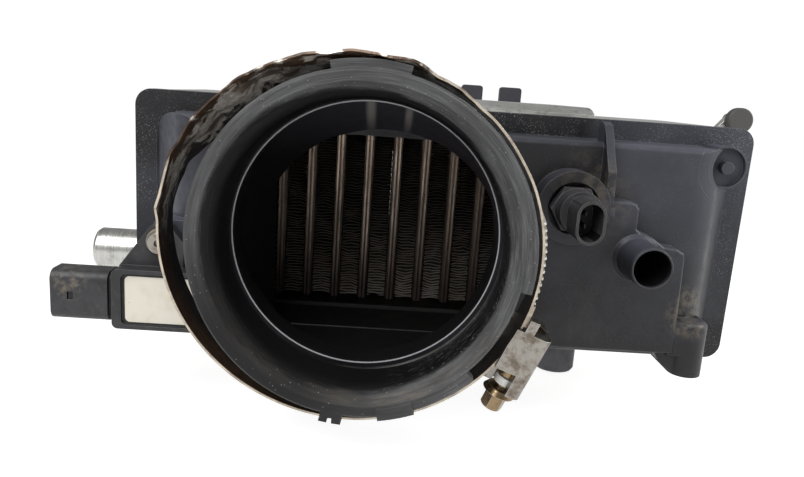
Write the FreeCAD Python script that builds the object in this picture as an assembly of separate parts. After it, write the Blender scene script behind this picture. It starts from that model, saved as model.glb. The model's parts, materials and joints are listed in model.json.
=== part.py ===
import FreeCAD, Part
import math
import os

# Liquid-cooled charge air cooler: a brazed core between two moulded tanks.
# Millimetres. X to the right seen from the charge port, Y from the port into
# the core, Z up. Sizes below are measured from the middle of the front tank's
# sealing flange; every piece is then moved so that the origin is the mouth of
# the threaded insert in the foot, which is where the cooler is screwed down.

# Flange and tank shell
SHELL_WIDTH = 232.0
SHELL_HEIGHT = 82.0
SHELL_DEPTH = 24.0
SHELL_CORNER = 11.0
SHELL_INSET = 16.0
SIDE_ROUND = 13.0
SHELL_EDGE = 2.4
WALL = 3.0
FLANGE_RIM_X = 8.5
FLANGE_RIM_Z = 8.0
FLANGE_THICK = 6.0
FLANGE_CORNER = 6.5
PAD_RISE = 7.0
PAD_EDGE = 1.2
PAD_DROP = 3.6

# Charge port
PORT_X = -29.0
PORT_Z = 5.8
PORT_BORE_R = 44.9
PORT_WALL = 3.3
PORT_LENGTH = 52.2
HOOD_FRONT = 40.0
HOOD_FOOT_X = -24.0
HOOD_FOOT_Z = -6.8
HOOD_FOOT_R = 47.0
HOOD_LEFT = -63.7

# Rubber cuff on the port
CUFF_REACH = 23.8
CUFF_WALL = 6.4
CUFF_GROOVE = 2.0
CUFF_STEP = 0.7
CUFF_TURN = -3.4
CUFF_LIFT = -1.2

# Loose hose clamp hanging on the cuff
BAND_SLACK = 6.8
BAND_THICK = 0.8
BAND_WIDTH = 12.7
BAND_SHIFT = (-5.2, -66.0, -2.3)
BAND_TURN = -3.8
BAND_LEAN = 7.2
BAND_TWIST = ((175, 0, 0), (160, 11, -0.7), (144, 30, -2.0), (125, 30, -2.1), (108, 27, -1.9),
              (92, 23, -1.7), (77, 18, -1.5), (55, 12, -1.6), (37, 5, -0.8), (20, 0, 0))
HOUSING_ANGLE = -29.5
HOUSING_TILT = 9.0
HOUSING_SLIDE = -2.0
HOUSING_LENGTH = 24.0
HOUSING_SIDE = 1.5
HOUSING_HEIGHT = 11.6
HOUSING_SADDLE = 1.4
WORM_R = 3.9
HEX_AF = 7.0
SCREW_FLANGE_R = 5.8
WASHER_R = 3.7

# Brazed core
TUBE_COUNT = 18
TUBE_THICK = 3.8
TUBE_MARGIN_LEFT = 11.1
TUBE_MARGIN_RIGHT = 12.14
CORE_MARGIN = 4.4
CORE_FRONT = 17.0
CORE_DEPTH = 63.0
FIN_FOLDS = 16
FIN_SHEET = 0.35
SHEET = 2.0
FRAME_THICK = 3.0
FRAME_LIP = 4.0
SEAL_THICK = 1.5
SEAL_INSET = 2.0
CASE_DEPTH = 76.0
CASE_MARGIN = 3.0
CASE_DROP = 0.4
CHANNEL_RISE = 4.4

# Fittings
STUB_R = 9.5
STUB_WALL = 1.5
INLET_Y = 38.0
INLET_Z = -26.3
INLET_LENGTH = 35.8
OUTLET_X = 62.5
OUTLET_Y = 34.0
OUTLET_LENGTH = 21.5
REAR_PORT_R = 33.0
REAR_PORT_LENGTH = 24.0
NIPPLE_X = 71.2
NIPPLE_Z = -0.2
NIPPLE_R = 7.6
NIPPLE_WALL = 0.9
NIPPLE_TIP = 48.6
RIB_X = 56.4
RIB_THICK = 3.0
TEMP_X = 45.2
TEMP_Z = 17.2
TEMP_TIP = 57.0
TEMP_BOSS_R = 13.5
TEMP_STEM_R = 5.0
GATE_IN_X = 9.7
GATE_IN_Z = 6.8
GATE_DISH_R = 8.2
PRESSURE_FACE = 40.5
PRESSURE_THICK = 12.0
PRESSURE_IN = 3.5
PRESSURE_WIDE = 33.0
PRESSURE_LOW = -36.5
PRESSURE_HIGH = -14.2
LABEL_WIDE = 25.6
LABEL_HIGH = 17.2
PLUG_LENGTH = 22.0
NOZZLE_R = 5.6
BUSH_R = 5.2
FOOT_IN = 17.8
FOOT_Y = -25.5
FOOT_R = 6.3
FOOT_TALL = 21.8
FOOT_LIFT = 2.7
INSERT_R = 4.0
INSERT_BORE_R = 2.5
INSERT_LENGTH = 10.0
PEG_OUT_X = 11.2
PEG_OUT_Z = 3.2
PEG_Y = 25.0
PEG_R = 5.6
PEG_SHANK_R = 3.0
CLEAR = 0.15

# Derived
FLANGE_WIDTH = SHELL_WIDTH + 2 * FLANGE_RIM_X
FLANGE_HEIGHT = SHELL_HEIGHT + 2 * FLANGE_RIM_Z
FLANGE_BACK = FLANGE_THICK
HALF_X = SHELL_WIDTH / 2
HALF_Z = SHELL_HEIGHT / 2
FRAME_Y = FLANGE_BACK + SEAL_THICK
CASE_Y = FRAME_Y + FRAME_THICK
CASE_BACK = CASE_Y + CASE_DEPTH
CASE_HALF_WIDTH = HALF_X + CASE_MARGIN
CASE_HALF_HEIGHT = FLANGE_HEIGHT / 2 - CASE_DROP
CORE_HALF_HEIGHT = HALF_Z - CORE_MARGIN
TUBE_PITCH = (SHELL_WIDTH - TUBE_MARGIN_LEFT - TUBE_MARGIN_RIGHT) / (TUBE_COUNT - 1)
TUBE_FIRST_X = -HALF_X + TUBE_MARGIN_LEFT
TUBE_BACK = CORE_FRONT + CORE_DEPTH
REAR_SEAL_Y = CASE_BACK + FRAME_THICK
REAR_FLANGE_Y = REAR_SEAL_Y + SEAL_THICK
PORT_R = PORT_BORE_R + PORT_WALL
CUFF_R = PORT_R + CUFF_WALL
CUFF_FRONT = PORT_LENGTH + CUFF_REACH
BAND_R = CUFF_R + BAND_SLACK
HOUSING_WIDTH = BAND_WIDTH + 2 * HOUSING_SIDE
PAD_FACE = SHELL_DEPTH + PAD_RISE
PRESSURE_LEFT = -HALF_X - PRESSURE_IN
PRESSURE_RIGHT = PRESSURE_LEFT + PRESSURE_WIDE
PRESSURE_BASE = -PRESSURE_FACE + PRESSURE_THICK
PRESSURE_MID_Z = (PRESSURE_LOW + PRESSURE_HIGH) / 2
NOZZLE_X = PRESSURE_LEFT + 15.5
NOZZLE_Z = PRESSURE_MID_Z + 1.35
BUSH_Z = PRESSURE_HIGH + 9.2
LABEL_X = PRESSURE_LEFT + 4.6 + LABEL_WIDE / 2
GATE_X = HALF_X - GATE_IN_X
GATE_Z = HALF_Z - GATE_IN_Z
FOOT_X = HALF_X - FOOT_IN
FOOT_BOTTOM = -FLANGE_HEIGHT / 2 + FOOT_LIFT
FOOT_TOP = FOOT_BOTTOM + FOOT_TALL
PEG_X = CASE_HALF_WIDTH + PEG_OUT_X
PEG_Z = CASE_HALF_HEIGHT + PEG_OUT_Z
ORIGIN = FreeCAD.Vector(FOOT_X, FOOT_Y, FOOT_BOTTOM)

V = FreeCAD.Vector
Y_AXIS = V(0, 1, 0)
Z_AXIS = V(0, 0, 1)
os.makedirs("parts", exist_ok=True)
SAVED = []


def save(name, shape):
    """Move a piece to the shared frame and write it."""
    piece = shape.copy()
    piece.translate(ORIGIN.negative())
    piece.exportStep("parts/" + name + ".step")
    SAVED.append(name)


def box(x0, x1, y0, y1, z0, z1):
    return Part.makeBox(x1 - x0, y1 - y0, z1 - z0, V(x0, y0, z0))


def rod(x, z, r, y0, y1):
    """Round bar along Y."""
    return Part.makeCylinder(r, y1 - y0, V(x, y0, z), Y_AXIS)


def face_xz(points, y=0.0):
    wire = Part.makePolygon([V(x, y, z) for x, z in points + [points[0]]])
    return Part.Face(wire)


def prism_y(points, y0, y1):
    """Plate with an outline in X and Z, from y0 to y1."""
    return face_xz(points, y0).extrude(V(0, y1 - y0, 0))


def prism_x(points, x0, x1):
    """Plate with an outline in Y and Z, from x0 to x1."""
    wire = Part.makePolygon([V(x0, y, z) for y, z in points + [points[0]]])
    return Part.Face(wire).extrude(V(x1 - x0, 0, 0))


def prism_z(points, z0, z1):
    """Bar with an outline in X and Y, from z0 to z1."""
    wire = Part.makePolygon([V(x, y, z0) for x, y in points + [points[0]]])
    return Part.Face(wire).extrude(V(0, 0, z1 - z0))


def edges_along(shape, axis, test=None):
    """Straight edges parallel to an axis, kept where test(middle) is true."""
    found = []
    for edge in shape.Edges:
        if not isinstance(edge.Curve, (Part.Line, Part.LineSegment)):
            continue
        a = edge.Vertexes[0].Point
        b = edge.Vertexes[-1].Point
        way = b.sub(a)
        if way.Length < 1e-6 or abs(way.normalize().dot(axis)) < 0.999:
            continue
        if test is None or test((a + b) * 0.5):
            found.append(edge)
    return found


def rim_edges(shape, y):
    """Edges that lie wholly at one depth."""
    return [e for e in shape.Edges
            if abs(e.BoundBox.YMin - y) < 1e-4 and abs(e.BoundBox.YMax - y) < 1e-4]


def rounded_plate(width, height, corner, y0, y1, cx=0.0, cz=0.0):
    plate = box(cx - width / 2, cx + width / 2, y0, y1, cz - height / 2, cz + height / 2)
    return plate.makeFillet(corner, edges_along(plate, Y_AXIS))


def drafted_block(shrink, y_back):
    """Tank body: sides slope in to a rounded face; shrink gives the room inside it."""
    half_x = HALF_X - shrink
    half_z = HALF_Z - shrink
    depth = SHELL_DEPTH - shrink
    face_x = half_x - SHELL_INSET
    plan = prism_z([(-half_x, y_back), (-half_x, 0), (-face_x, -depth), (face_x, -depth),
                    (half_x, 0), (half_x, y_back)], -half_z - 1, half_z + 1)
    plan = plan.makeFillet(SIDE_ROUND - shrink, edges_along(plan, Z_AXIS, lambda m: m.y < 1 - depth))
    side = prism_x([(-depth, -half_z), (-depth, half_z), (y_back, half_z), (y_back, -half_z)],
                   -half_x - 1, half_x + 1)
    side = side.makeFillet(SHELL_EDGE, edges_along(side, V(1, 0, 0), lambda m: m.y < 1 - depth))
    outline = rounded_plate(2 * half_x, 2 * half_z, SHELL_CORNER - shrink, -depth - 1, y_back)
    return plan.common(side).common(outline)


def revolve_y(profile, x, z):
    """Ring about a Y line through (x, z); profile is a list of (radius, y)."""
    wire = Part.makePolygon([V(x + r, y, z) for r, y in profile + [profile[0]]])
    return Part.Face(wire).revolve(V(x, 0, z), Y_AXIS, 360)


def ring_sector(x, z, r0, r1, y0, y1, angle, half):
    """Block between two radii, centred on an angle seen from the front."""
    tube = rod(x, z, r1, y0, y1).cut(rod(x, z, r0, y0 - 1, y1 + 1))
    a0 = math.radians(angle - half)
    a1 = math.radians(angle + half)
    far = r1 * 1.5
    wedge = prism_y([(x, z), (x + far * math.cos(a0), z + far * math.sin(a0)),
                     (x + far * math.cos(a1), z + far * math.sin(a1))], y0 - 1, y1 + 1)
    return tube.common(wedge)


def fuse(first, others):
    shape = first.multiFuse(others) if others else first
    return shape.removeSplitter()


def one_solid(shape):
    return shape.Solids[0] if len(shape.Solids) == 1 else shape


# Front tank moulding


def pad_outline(shrink):
    """Raised field on the tank face that carries the sensor boss and nipple."""
    left = PORT_X - PORT_R + 10.0 + shrink
    low = -HALF_Z + PAD_DROP + shrink
    top = TEMP_Z + 3.3 - shrink
    right = NIPPLE_X + 19.8 - shrink
    step = NIPPLE_X - 0.7 - shrink
    return [(left, low), (left, top), (step - 3.8, top), (step - 1.2, top - 0.7), (step, top - 2.6),
            (step, NIPPLE_Z + 10.7), (step + 1.6, NIPPLE_Z + 9.4), (NIPPLE_X + 5.8 - shrink, NIPPLE_Z + 7.7),
            (NIPPLE_X + 10.4 - shrink, NIPPLE_Z + 4.6 - shrink), (right - 4.4, NIPPLE_Z + 4.1 - shrink),
            (right - 1.6, NIPPLE_Z + 2.6 - shrink), (right - 1.0, NIPPLE_Z + 0.4 - shrink),
            (right, low)]


def port_hood(grow, y_back):
    """Round passage from the port down into the tank; its left side runs straight."""
    front = Part.Wire(Part.Circle(V(PORT_X, -HOOD_FRONT, PORT_Z), Y_AXIS, PORT_BORE_R + grow).toShape())
    foot = Part.Wire(Part.Circle(V(HOOD_FOOT_X, y_back, HOOD_FOOT_Z), Y_AXIS, HOOD_FOOT_R + grow).toShape())
    cone = Part.makeLoft([front, foot], True, True)
    near_x = PORT_X - PORT_BORE_R - grow - 1.0
    near_z = PORT_Z - PORT_BORE_R - grow - 1.0
    far = 3 * PORT_R
    beside = prism_z([(near_x, -HOOD_FRONT - 1), (HOOD_LEFT - grow, y_back), (HOOD_LEFT - grow, y_back + 1),
                      (far, y_back + 1), (far, -HOOD_FRONT - 1)], -far, far)
    below = prism_x([(-HOOD_FRONT - 1, near_z), (y_back, -HALF_Z + WALL - grow),
                     (y_back + 1, -HALF_Z + WALL - grow), (y_back + 1, far), (-HOOD_FRONT - 1, far)],
                    -far, far)
    return cone.common(beside).common(below)


def pressure_seat():
    """Platform that rises from the flange to the sensor at the left."""
    left = PRESSURE_LEFT + 0.5
    return prism_y([(left, PRESSURE_LOW - 0.5), (left, PRESSURE_HIGH - 0.8), (left + 12.0, BUSH_Z + 7.5),
                    (left + 23.0, BUSH_Z + 7.5), (left + 31.0, BUSH_Z - 3.0), (left + 31.0, PRESSURE_LOW - 0.5)],
                   PRESSURE_BASE, 0.5)


def tank_foot():
    """Round post with a flared shoulder, a web and a bore for the threaded insert."""
    post = Part.makeCylinder(FOOT_R, FOOT_TALL, V(FOOT_X, FOOT_Y, FOOT_BOTTOM), Z_AXIS)
    back = box(FOOT_X - FOOT_R, FOOT_X + FOOT_R, FOOT_Y, -8.0, FOOT_BOTTOM, FOOT_TOP)
    post = fuse(post, [back])
    post = post.makeFillet(2.4, [e for e in post.Edges if abs(e.BoundBox.ZMin - FOOT_TOP) < 1e-4
                                 and e.BoundBox.YMin < FOOT_Y + 1])
    shoulder = prism_z([(FOOT_X - FOOT_R - 4.5, -SHELL_DEPTH + 2), (FOOT_X - FOOT_R - 3.0, FOOT_Y - 4.2),
                        (FOOT_X - 3.4, FOOT_Y - 5.2), (FOOT_X, -SHELL_DEPTH + 2)],
                       FOOT_BOTTOM + 8.0, FOOT_TOP - 0.6)
    web = prism_y([(FOOT_X - 14.0, FOOT_BOTTOM + 9.0), (FOOT_X - 11.8, FOOT_BOTTOM + 5.4),
                   (FOOT_X - 5.4, FOOT_BOTTOM + 0.3), (FOOT_X - 2.0, FOOT_BOTTOM + 9.0)],
                  FOOT_Y - 3.0, -12.0)
    return [post, shoulder, web]


def front_tank():
    flange = rounded_plate(FLANGE_WIDTH, FLANGE_HEIGHT, FLANGE_CORNER, 0.0, FLANGE_BACK)
    shell = drafted_block(0.0, 1.0)
    pad = prism_y(pad_outline(0.0), -PAD_FACE, -SHELL_DEPTH + 6.0)
    pad = pad.makeFillet(PAD_EDGE, rim_edges(pad, -PAD_FACE))
    hood = port_hood(WALL, -SHELL_DEPTH + WALL + 3.0)
    spigot = rod(PORT_X, PORT_Z, PORT_R, -PORT_LENGTH, -HOOD_FRONT + 1.0)
    rib_top = HALF_Z + 7.6
    rib = prism_x([(-15.0, HALF_Z - 5), (-15.0, rib_top - 0.6), (-18.0, rib_top), (-21.5, rib_top - 1.2),
                   (-24.5, rib_top - 4.6), (-28.5, rib_top - 11.0), (-33.0, rib_top - 17.5),
                   (-34.0, TEMP_Z + 2.3), (-20.0, TEMP_Z + 2.3), (-20.0, HALF_Z - 5)],
                  RIB_X, RIB_X + RIB_THICK)
    temp_boss = rod(TEMP_X, TEMP_Z, TEMP_BOSS_R, -PAD_FACE - 3.0, -SHELL_DEPTH + 3.0)
    clip = box(TEMP_X + 12.4, TEMP_X + 15.0, -PAD_FACE - 3.0, -PAD_FACE + 2.0,
               TEMP_Z - 1.9, TEMP_Z + 1.1)
    nipple = revolve_y([(0, -NIPPLE_TIP), (NIPPLE_R - 0.4, -NIPPLE_TIP),
                        (NIPPLE_R, -NIPPLE_TIP + 0.8), (NIPPLE_R, -PAD_FACE - 1.6),
                        (NIPPLE_R + 1.4, -PAD_FACE), (NIPPLE_R + 1.4, -PAD_FACE + 4),
                        (0, -PAD_FACE + 4)], NIPPLE_X, NIPPLE_Z)
    dish = rod(GATE_X, GATE_Z, GATE_DISH_R, -17.4, -4.0)
    gate = rod(GATE_X, GATE_Z, 2.4, -19.0, -8.0)
    solid = fuse(flange, [shell, pad, hood, spigot, rib, temp_boss, clip, nipple,
                          dish, pressure_seat()] + tank_foot())
    pocket = rod(GATE_X, GATE_Z, GATE_DISH_R - 0.7, -SHELL_DEPTH - 1, -15.4)
    solid = fuse(solid.cut(pocket), [gate])

    room = drafted_block(WALL, FLANGE_BACK + 1)
    pad_room = prism_y(pad_outline(WALL + 1.0), -PAD_FACE + WALL, -SHELL_DEPTH + WALL + 1)
    hood_room = port_hood(0.0, -SHELL_DEPTH + WALL + 1.0)
    bore = rod(PORT_X, PORT_Z, PORT_BORE_R, -PORT_LENGTH - 1, -HOOD_FRONT + 0.01)
    nipple_bore = rod(NIPPLE_X, NIPPLE_Z, NIPPLE_R - NIPPLE_WALL, -NIPPLE_TIP - 1,
                      -SHELL_DEPTH + WALL + 1)
    temp_bore = rod(TEMP_X, TEMP_Z, TEMP_BOSS_R - 3.9, -PAD_FACE - 4, -PAD_FACE + 1.5)
    temp_hole = rod(TEMP_X, TEMP_Z, TEMP_STEM_R + CLEAR, -PAD_FACE, -SHELL_DEPTH + WALL + 1)
    seat_hole = rod(NOZZLE_X, NOZZLE_Z, NOZZLE_R, PRESSURE_BASE - 1.0, -4.0)
    screw_hole = rod(NOZZLE_X, BUSH_Z, 1.9, PRESSURE_BASE - 1.0, PRESSURE_BASE + 8.0)
    insert_hole = Part.makeCylinder(INSERT_R, INSERT_LENGTH + 2.0,
                                    V(FOOT_X, FOOT_Y, FOOT_BOTTOM - 1.0), Z_AXIS)
    hollow = fuse(room, [pad_room, hood_room, bore])
    holes = [nipple_bore, temp_bore, temp_hole, seat_hole, screw_hole, insert_hole]
    return one_solid(solid.cut(hollow).cut(Part.makeCompound(holes)).removeSplitter())


def foot_insert():
    insert = Part.makeCylinder(INSERT_R, INSERT_LENGTH, V(FOOT_X, FOOT_Y, FOOT_BOTTOM), Z_AXIS)
    bore = Part.makeCylinder(INSERT_BORE_R, INSERT_LENGTH + 2,
                             V(FOOT_X, FOOT_Y, FOOT_BOTTOM - 1), Z_AXIS)
    return insert.cut(bore)


# Rubber cuff


def band_place(shape):
    """Carry a clamp piece from its own upright pose to its askew place."""
    piece = shape.copy()
    piece.rotate(V(0, 0, 0), V(1, 0, 0), BAND_LEAN)
    piece.rotate(V(0, 0, 0), Z_AXIS, BAND_TURN)
    piece.translate(V(PORT_X + BAND_SHIFT[0], BAND_SHIFT[1], PORT_Z + BAND_SHIFT[2]))
    return piece


def cuff_tilt(shape):
    """Bend the free end of the rubber a little to the left about the port's mouth."""
    piece = shape.copy()
    mouth = V(PORT_X, -PORT_LENGTH, PORT_Z)
    piece.rotate(mouth, Z_AXIS, CUFF_TURN)
    piece.rotate(mouth, V(1, 0, 0), CUFF_LIFT)
    return piece


def cuff_free_end():
    """Front of the sleeve: the rolled lip is one arc, the outside has a shallow groove."""
    front = -CUFF_FRONT
    root = -PORT_LENGTH + 3.0
    seat = -PORT_LENGTH - 3.6
    inner_r = PORT_BORE_R + CUFF_STEP
    relief_r = inner_r + 2.0
    groove_r = CUFF_R - CUFF_GROOVE
    flat_r = CUFF_R - 4.0
    roll = Part.Arc(V(inner_r, front + 10.0, 0), V(inner_r + 1.6, front + 3.4, 0),
                    V(flat_r - 0.6, front + 0.5, 0)).toShape()
    corners = [(flat_r - 0.6, front + 0.5), (flat_r, front), (CUFF_R - 0.9, front), (CUFF_R, front + 1.0),
               (CUFF_R, front + 5.0), (groove_r, front + 6.0), (groove_r, root), (relief_r, root),
               (relief_r, seat), (inner_r, seat), (inner_r, front + 10.0)]
    rest = Part.makePolygon([V(r, y, 0) for r, y in corners])
    wire = Part.Wire(Part.sortEdges([roll] + rest.Edges)[0])
    ring = Part.Face(wire).revolve(V(0, 0, 0), Y_AXIS, 360)
    ring.translate(V(PORT_X, 0, PORT_Z))
    return ring


def charge_cuff():
    front = -CUFF_FRONT
    back = -HOOD_FRONT - CLEAR
    groove_r = CUFF_R - CUFF_GROOVE
    stop = -PORT_LENGTH
    ledge_r = PORT_BORE_R + CUFF_STEP + 1.2
    grip = revolve_y([(PORT_R, back), (PORT_R, stop), (ledge_r, stop), (ledge_r, stop - 1.5),
                      (groove_r + 0.9, stop - 1.5), (groove_r + 0.9, stop + 5.2), (groove_r, stop + 5.8),
                      (groove_r, back - 5.0), (CUFF_R, back - 4.0), (CUFF_R, back)], PORT_X, PORT_Z)
    notch = ring_sector(PORT_X, PORT_Z, CUFF_R - 3.6, CUFF_R + 6, front - 1, front + 13.0, -28.0, 17.5)
    index = ring_sector(PORT_X, PORT_Z, groove_r, CUFF_R + 2.6, front, front + 6.0, -96.5, 3.6)
    index_cut = box(PORT_X - 7.4, PORT_X - 5.8, front - 1, front + 7,
                    PORT_Z - CUFF_R - 3, PORT_Z - CUFF_R - 0.6)
    lug = ring_sector(PORT_X, PORT_Z, CUFF_R - 3.4, CUFF_R + 0.6, front - 0.8, front + 6.0, -74.5, 6.2)
    block = ring_sector(PORT_X, PORT_Z, groove_r, CUFF_R + 9.0, front + 2.0, front + 10.0, 89.5, 12.5)
    crown = revolve_y([(groove_r, front + 1), (CUFF_R + 2.6, front + 1), (CUFF_R + 2.6, front + 3.0),
                       (CUFF_R - 0.6, front + 10.0), (groove_r, front + 10.0)], PORT_X, PORT_Z)
    free = fuse(cuff_free_end().cut(notch), [index.cut(index_cut), lug, block.common(crown)])
    free = cuff_tilt(free).cut(rod(PORT_X, PORT_Z, PORT_R, stop, 0.0))
    return one_solid(fuse(grip, [free]))


# Hose clamp, drawn upright about the origin with its front edge at y = 0


def band_section(angle, twist, shift):
    """Cross-section of the strip; twist turns its front edge outward."""
    turn = math.radians(angle)
    tip = math.radians(twist)
    mid_r = BAND_R + BAND_THICK / 2 + shift
    corners = []
    for along, across in ((-1, -1), (-1, 1), (1, 1), (1, -1)):
        run = along * BAND_WIDTH / 2
        rise = across * BAND_THICK / 2
        r = mid_r - run * math.sin(tip) + rise * math.cos(tip)
        y = BAND_WIDTH / 2 + run * math.cos(tip) + rise * math.sin(tip)
        corners.append(V(r * math.cos(turn), y, r * math.sin(turn)))
    return Part.makePolygon(corners + [corners[0]])


def clamp_band():
    sections = [band_section(*row) for row in BAND_TWIST]
    twisted = Part.makeLoft(sections, True, False)
    start = Part.Face(band_section(*BAND_TWIST[-1]))
    sweep = 360 - BAND_TWIST[0][0] + BAND_TWIST[-1][0]
    plain = start.revolve(V(0, 0, 0), Y_AXIS, sweep)
    tail = ring_sector(0, 0, BAND_R + BAND_THICK, BAND_R + 2 * BAND_THICK, 0, BAND_WIDTH,
                       HOUSING_ANGLE + 13.2, 4.0)
    return band_place(one_solid(fuse(plain, [twisted, tail])))


def housing_tilt(shape):
    """Slide a piece drawn with its length on Z along it, and tilt it about the housing's middle."""
    piece = shape.copy()
    piece.translate(V(0, 0, HOUSING_SLIDE))
    piece.rotate(V(BAND_R + BAND_THICK + HOUSING_HEIGHT / 2, 0, 0), V(0, -1, 0), HOUSING_TILT)
    return piece


def housing_local(shape):
    """Turn a tilted piece to the housing's angle on the band."""
    piece = shape.copy()
    piece.rotate(V(0, 0, 0), V(0, -1, 0), HOUSING_ANGLE)
    return band_place(piece)


def worm_centre():
    return BAND_R + 2 * BAND_THICK + WORM_R + 1.4


def clamp_housing():
    """Folded box round the worm: saddles the band, with a window at the screw's head."""
    foot_r = BAND_R + BAND_THICK
    mid_y = BAND_WIDTH / 2
    half = HOUSING_LENGTH / 2
    wide = HOUSING_WIDTH / 2
    body = box(foot_r - HOUSING_SADDLE, foot_r + HOUSING_HEIGHT, mid_y - wide, mid_y + wide, -half, half)
    body = body.makeFillet(2.6, edges_along(body, Z_AXIS, lambda m: m.x > foot_r + 1))
    seat = rod(0, 0, foot_r, -CLEAR, BAND_WIDTH + CLEAR)
    under = rod(0, 0, BAND_R - 1.0, -20, 40)
    axis_x = worm_centre()
    bore = Part.makeCylinder(WORM_R + 0.3, HOUSING_LENGTH + 4, V(axis_x, mid_y, -half - 2), Z_AXIS)
    window = box(foot_r - HOUSING_SADDLE - 1, axis_x + 0.2, mid_y - wide - 1, mid_y, -half - 1, -half + 8.4)
    tongue = box(foot_r + 1.6, foot_r + 4.9, mid_y - wide, mid_y - wide + 1.4, half - 2, half + 4.6)
    body = body.cut(bore).cut(window).fuse(tongue)
    body = housing_tilt(body).cut(seat).cut(under)
    return housing_local(one_solid(body.removeSplitter()))


def hexagon_z(x, y, across, z0, z1):
    r = across / 2 / math.cos(math.radians(30))
    points = [(x + r * math.cos(math.radians(60 * k)), y + r * math.sin(math.radians(60 * k)))
              for k in range(6)]
    return prism_z(points, z0, z1)


def clamp_screw():
    axis_x = worm_centre()
    mid_y = BAND_WIDTH / 2
    half = HOUSING_LENGTH / 2
    worm = Part.makeCylinder(WORM_R, HOUSING_LENGTH - 5.6, V(axis_x, mid_y, -half + 4.6), Z_AXIS)
    neck = Part.makeCylinder(2.4, 8.2, V(axis_x, mid_y, -half - 2.6), Z_AXIS)
    disc = Part.makeCone(SCREW_FLANGE_R, SCREW_FLANGE_R - 1.2, 1.9, V(axis_x, mid_y, -half - 2.95), Z_AXIS)
    head = hexagon_z(axis_x, mid_y, HEX_AF, -half - 9.3, -half - 2.0)
    tip = Part.makeCone(HEX_AF * 0.5, HEX_AF * 0.72, 1.6, V(axis_x, mid_y, -half - 9.3), Z_AXIS)
    tip = tip.fuse(Part.makeCylinder(HEX_AF, 7.0, V(axis_x, mid_y, -half - 7.7), Z_AXIS))
    return housing_local(housing_tilt(one_solid(fuse(worm, [neck, disc, head.common(tip)]))))


def clamp_washer():
    axis_x = worm_centre()
    mid_y = BAND_WIDTH / 2
    half = HOUSING_LENGTH / 2
    ring = Part.makeCylinder(WASHER_R, 2.8, V(axis_x, mid_y, -half + 1.0), Z_AXIS)
    hole = Part.makeCylinder(2.4, 4.0, V(axis_x, mid_y, -half + 0.4), Z_AXIS)
    return housing_local(housing_tilt(ring.cut(hole)))


# Pressure sensor on the tank's left


def rounded_bar_x(x0, x1, y0, y1, z0, z1, corner):
    bar = box(x0, x1, y0, y1, z0, z1)
    return bar.makeFillet(corner, edges_along(bar, V(1, 0, 0)))


def pressure_sensor():
    face = -PRESSURE_FACE
    base = PRESSURE_BASE
    left = PRESSURE_LEFT
    body = prism_y([(left, PRESSURE_LOW), (left, PRESSURE_HIGH), (PRESSURE_RIGHT, PRESSURE_HIGH),
                    (PRESSURE_RIGHT, PRESSURE_LOW)], face, base)
    body = body.makeFillet(2.2, edges_along(body, Y_AXIS))
    dish = rounded_plate(LABEL_WIDE + 2.4, LABEL_HIGH + 2.0, 2.2, face - 1, face + 1.3, LABEL_X, PRESSURE_MID_Z)
    ear = prism_y([(left + 0.5, PRESSURE_HIGH - 1.8), (left + 0.5, PRESSURE_HIGH - 0.4),
                   (left + 12.3, BUSH_Z + 6.4), (left + 18.9, BUSH_Z + 6.4),
                   (left + 23.9, BUSH_Z), (left + 23.9, PRESSURE_HIGH - 1.8)], base - 5.2, base)
    ear = ear.makeFillet(2.0, edges_along(ear, Y_AXIS, lambda m: m.z > BUSH_Z - 1))
    low = PRESSURE_LOW + 1.9
    high = PRESSURE_HIGH - 1.9
    plug = rounded_bar_x(left - PLUG_LENGTH, left - 1.6, face + 0.6, face + 13.6, low, high, 3.6)
    root = rounded_bar_x(left - 2.0, left + 1.0, face + 2.4, face + 12.0, low + 1.0, high - 1.0, 2.4)
    nozzle = rod(NOZZLE_X, NOZZLE_Z, NOZZLE_R - CLEAR, base, base + 12.0)
    solid = fuse(body, [ear, plug, root, nozzle])
    socket = rounded_bar_x(left - PLUG_LENGTH - 1, left - 5.5, face + 2.0, face + 12.2, low + 1.4, high - 1.4, 2.6)
    latch_x = left - PLUG_LENGTH + 6.0
    latch = box(latch_x, latch_x + 2.2, face - 1.0, face + 2.4, PRESSURE_MID_Z - 1.4, PRESSURE_MID_Z + 1.6)
    port = rod(NOZZLE_X, NOZZLE_Z, 2.2, base - 2.0, base + 13.0)
    bush = rod(NOZZLE_X, BUSH_Z, BUSH_R, base - 6.0, base + 1.0)
    return one_solid(solid.cut(Part.makeCompound([dish, socket, latch, port, bush])).removeSplitter())


def pressure_label():
    face = -PRESSURE_FACE
    return rounded_plate(LABEL_WIDE, LABEL_HIGH, 1.8, face + 0.9, face + 1.3, LABEL_X, PRESSURE_MID_Z)


def pressure_bush():
    base = PRESSURE_BASE
    ring = rod(NOZZLE_X, BUSH_Z, BUSH_R, base - 5.4, base)
    return ring.cut(rod(NOZZLE_X, BUSH_Z, BUSH_R - 1.6, base - 6, base + 1))


def pressure_screw():
    base = PRESSURE_BASE
    top = base - 5.4
    head = revolve_y([(0, top - 2.6), (BUSH_R - 1.4, top - 2.6), (BUSH_R - 0.6, top - 1.6),
                      (BUSH_R - 0.6, top), (0, top)], NOZZLE_X, BUSH_Z)
    shank = rod(NOZZLE_X, BUSH_Z, 1.9, top - 0.2, base + 6.0)
    drive = revolve_y([(0, top - 3), (1.5, top - 3), (1.5, top - 1.2), (0, top - 1.2)], NOZZLE_X, BUSH_Z)
    return one_solid(head.fuse(shank).removeSplitter().cut(drive))


def pressure_terminals():
    face = -PRESSURE_FACE
    floor_x = PRESSURE_LEFT - 5.5
    blades = []
    for k in range(4):
        z = PRESSURE_MID_Z + (k - 1.5) * 3.2
        blades.append(box(floor_x - 8.5, floor_x, face + 6.5, face + 7.5, z - 0.4, z + 0.4))
    return Part.makeCompound(blades)


# Temperature sensor in the round boss


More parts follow.
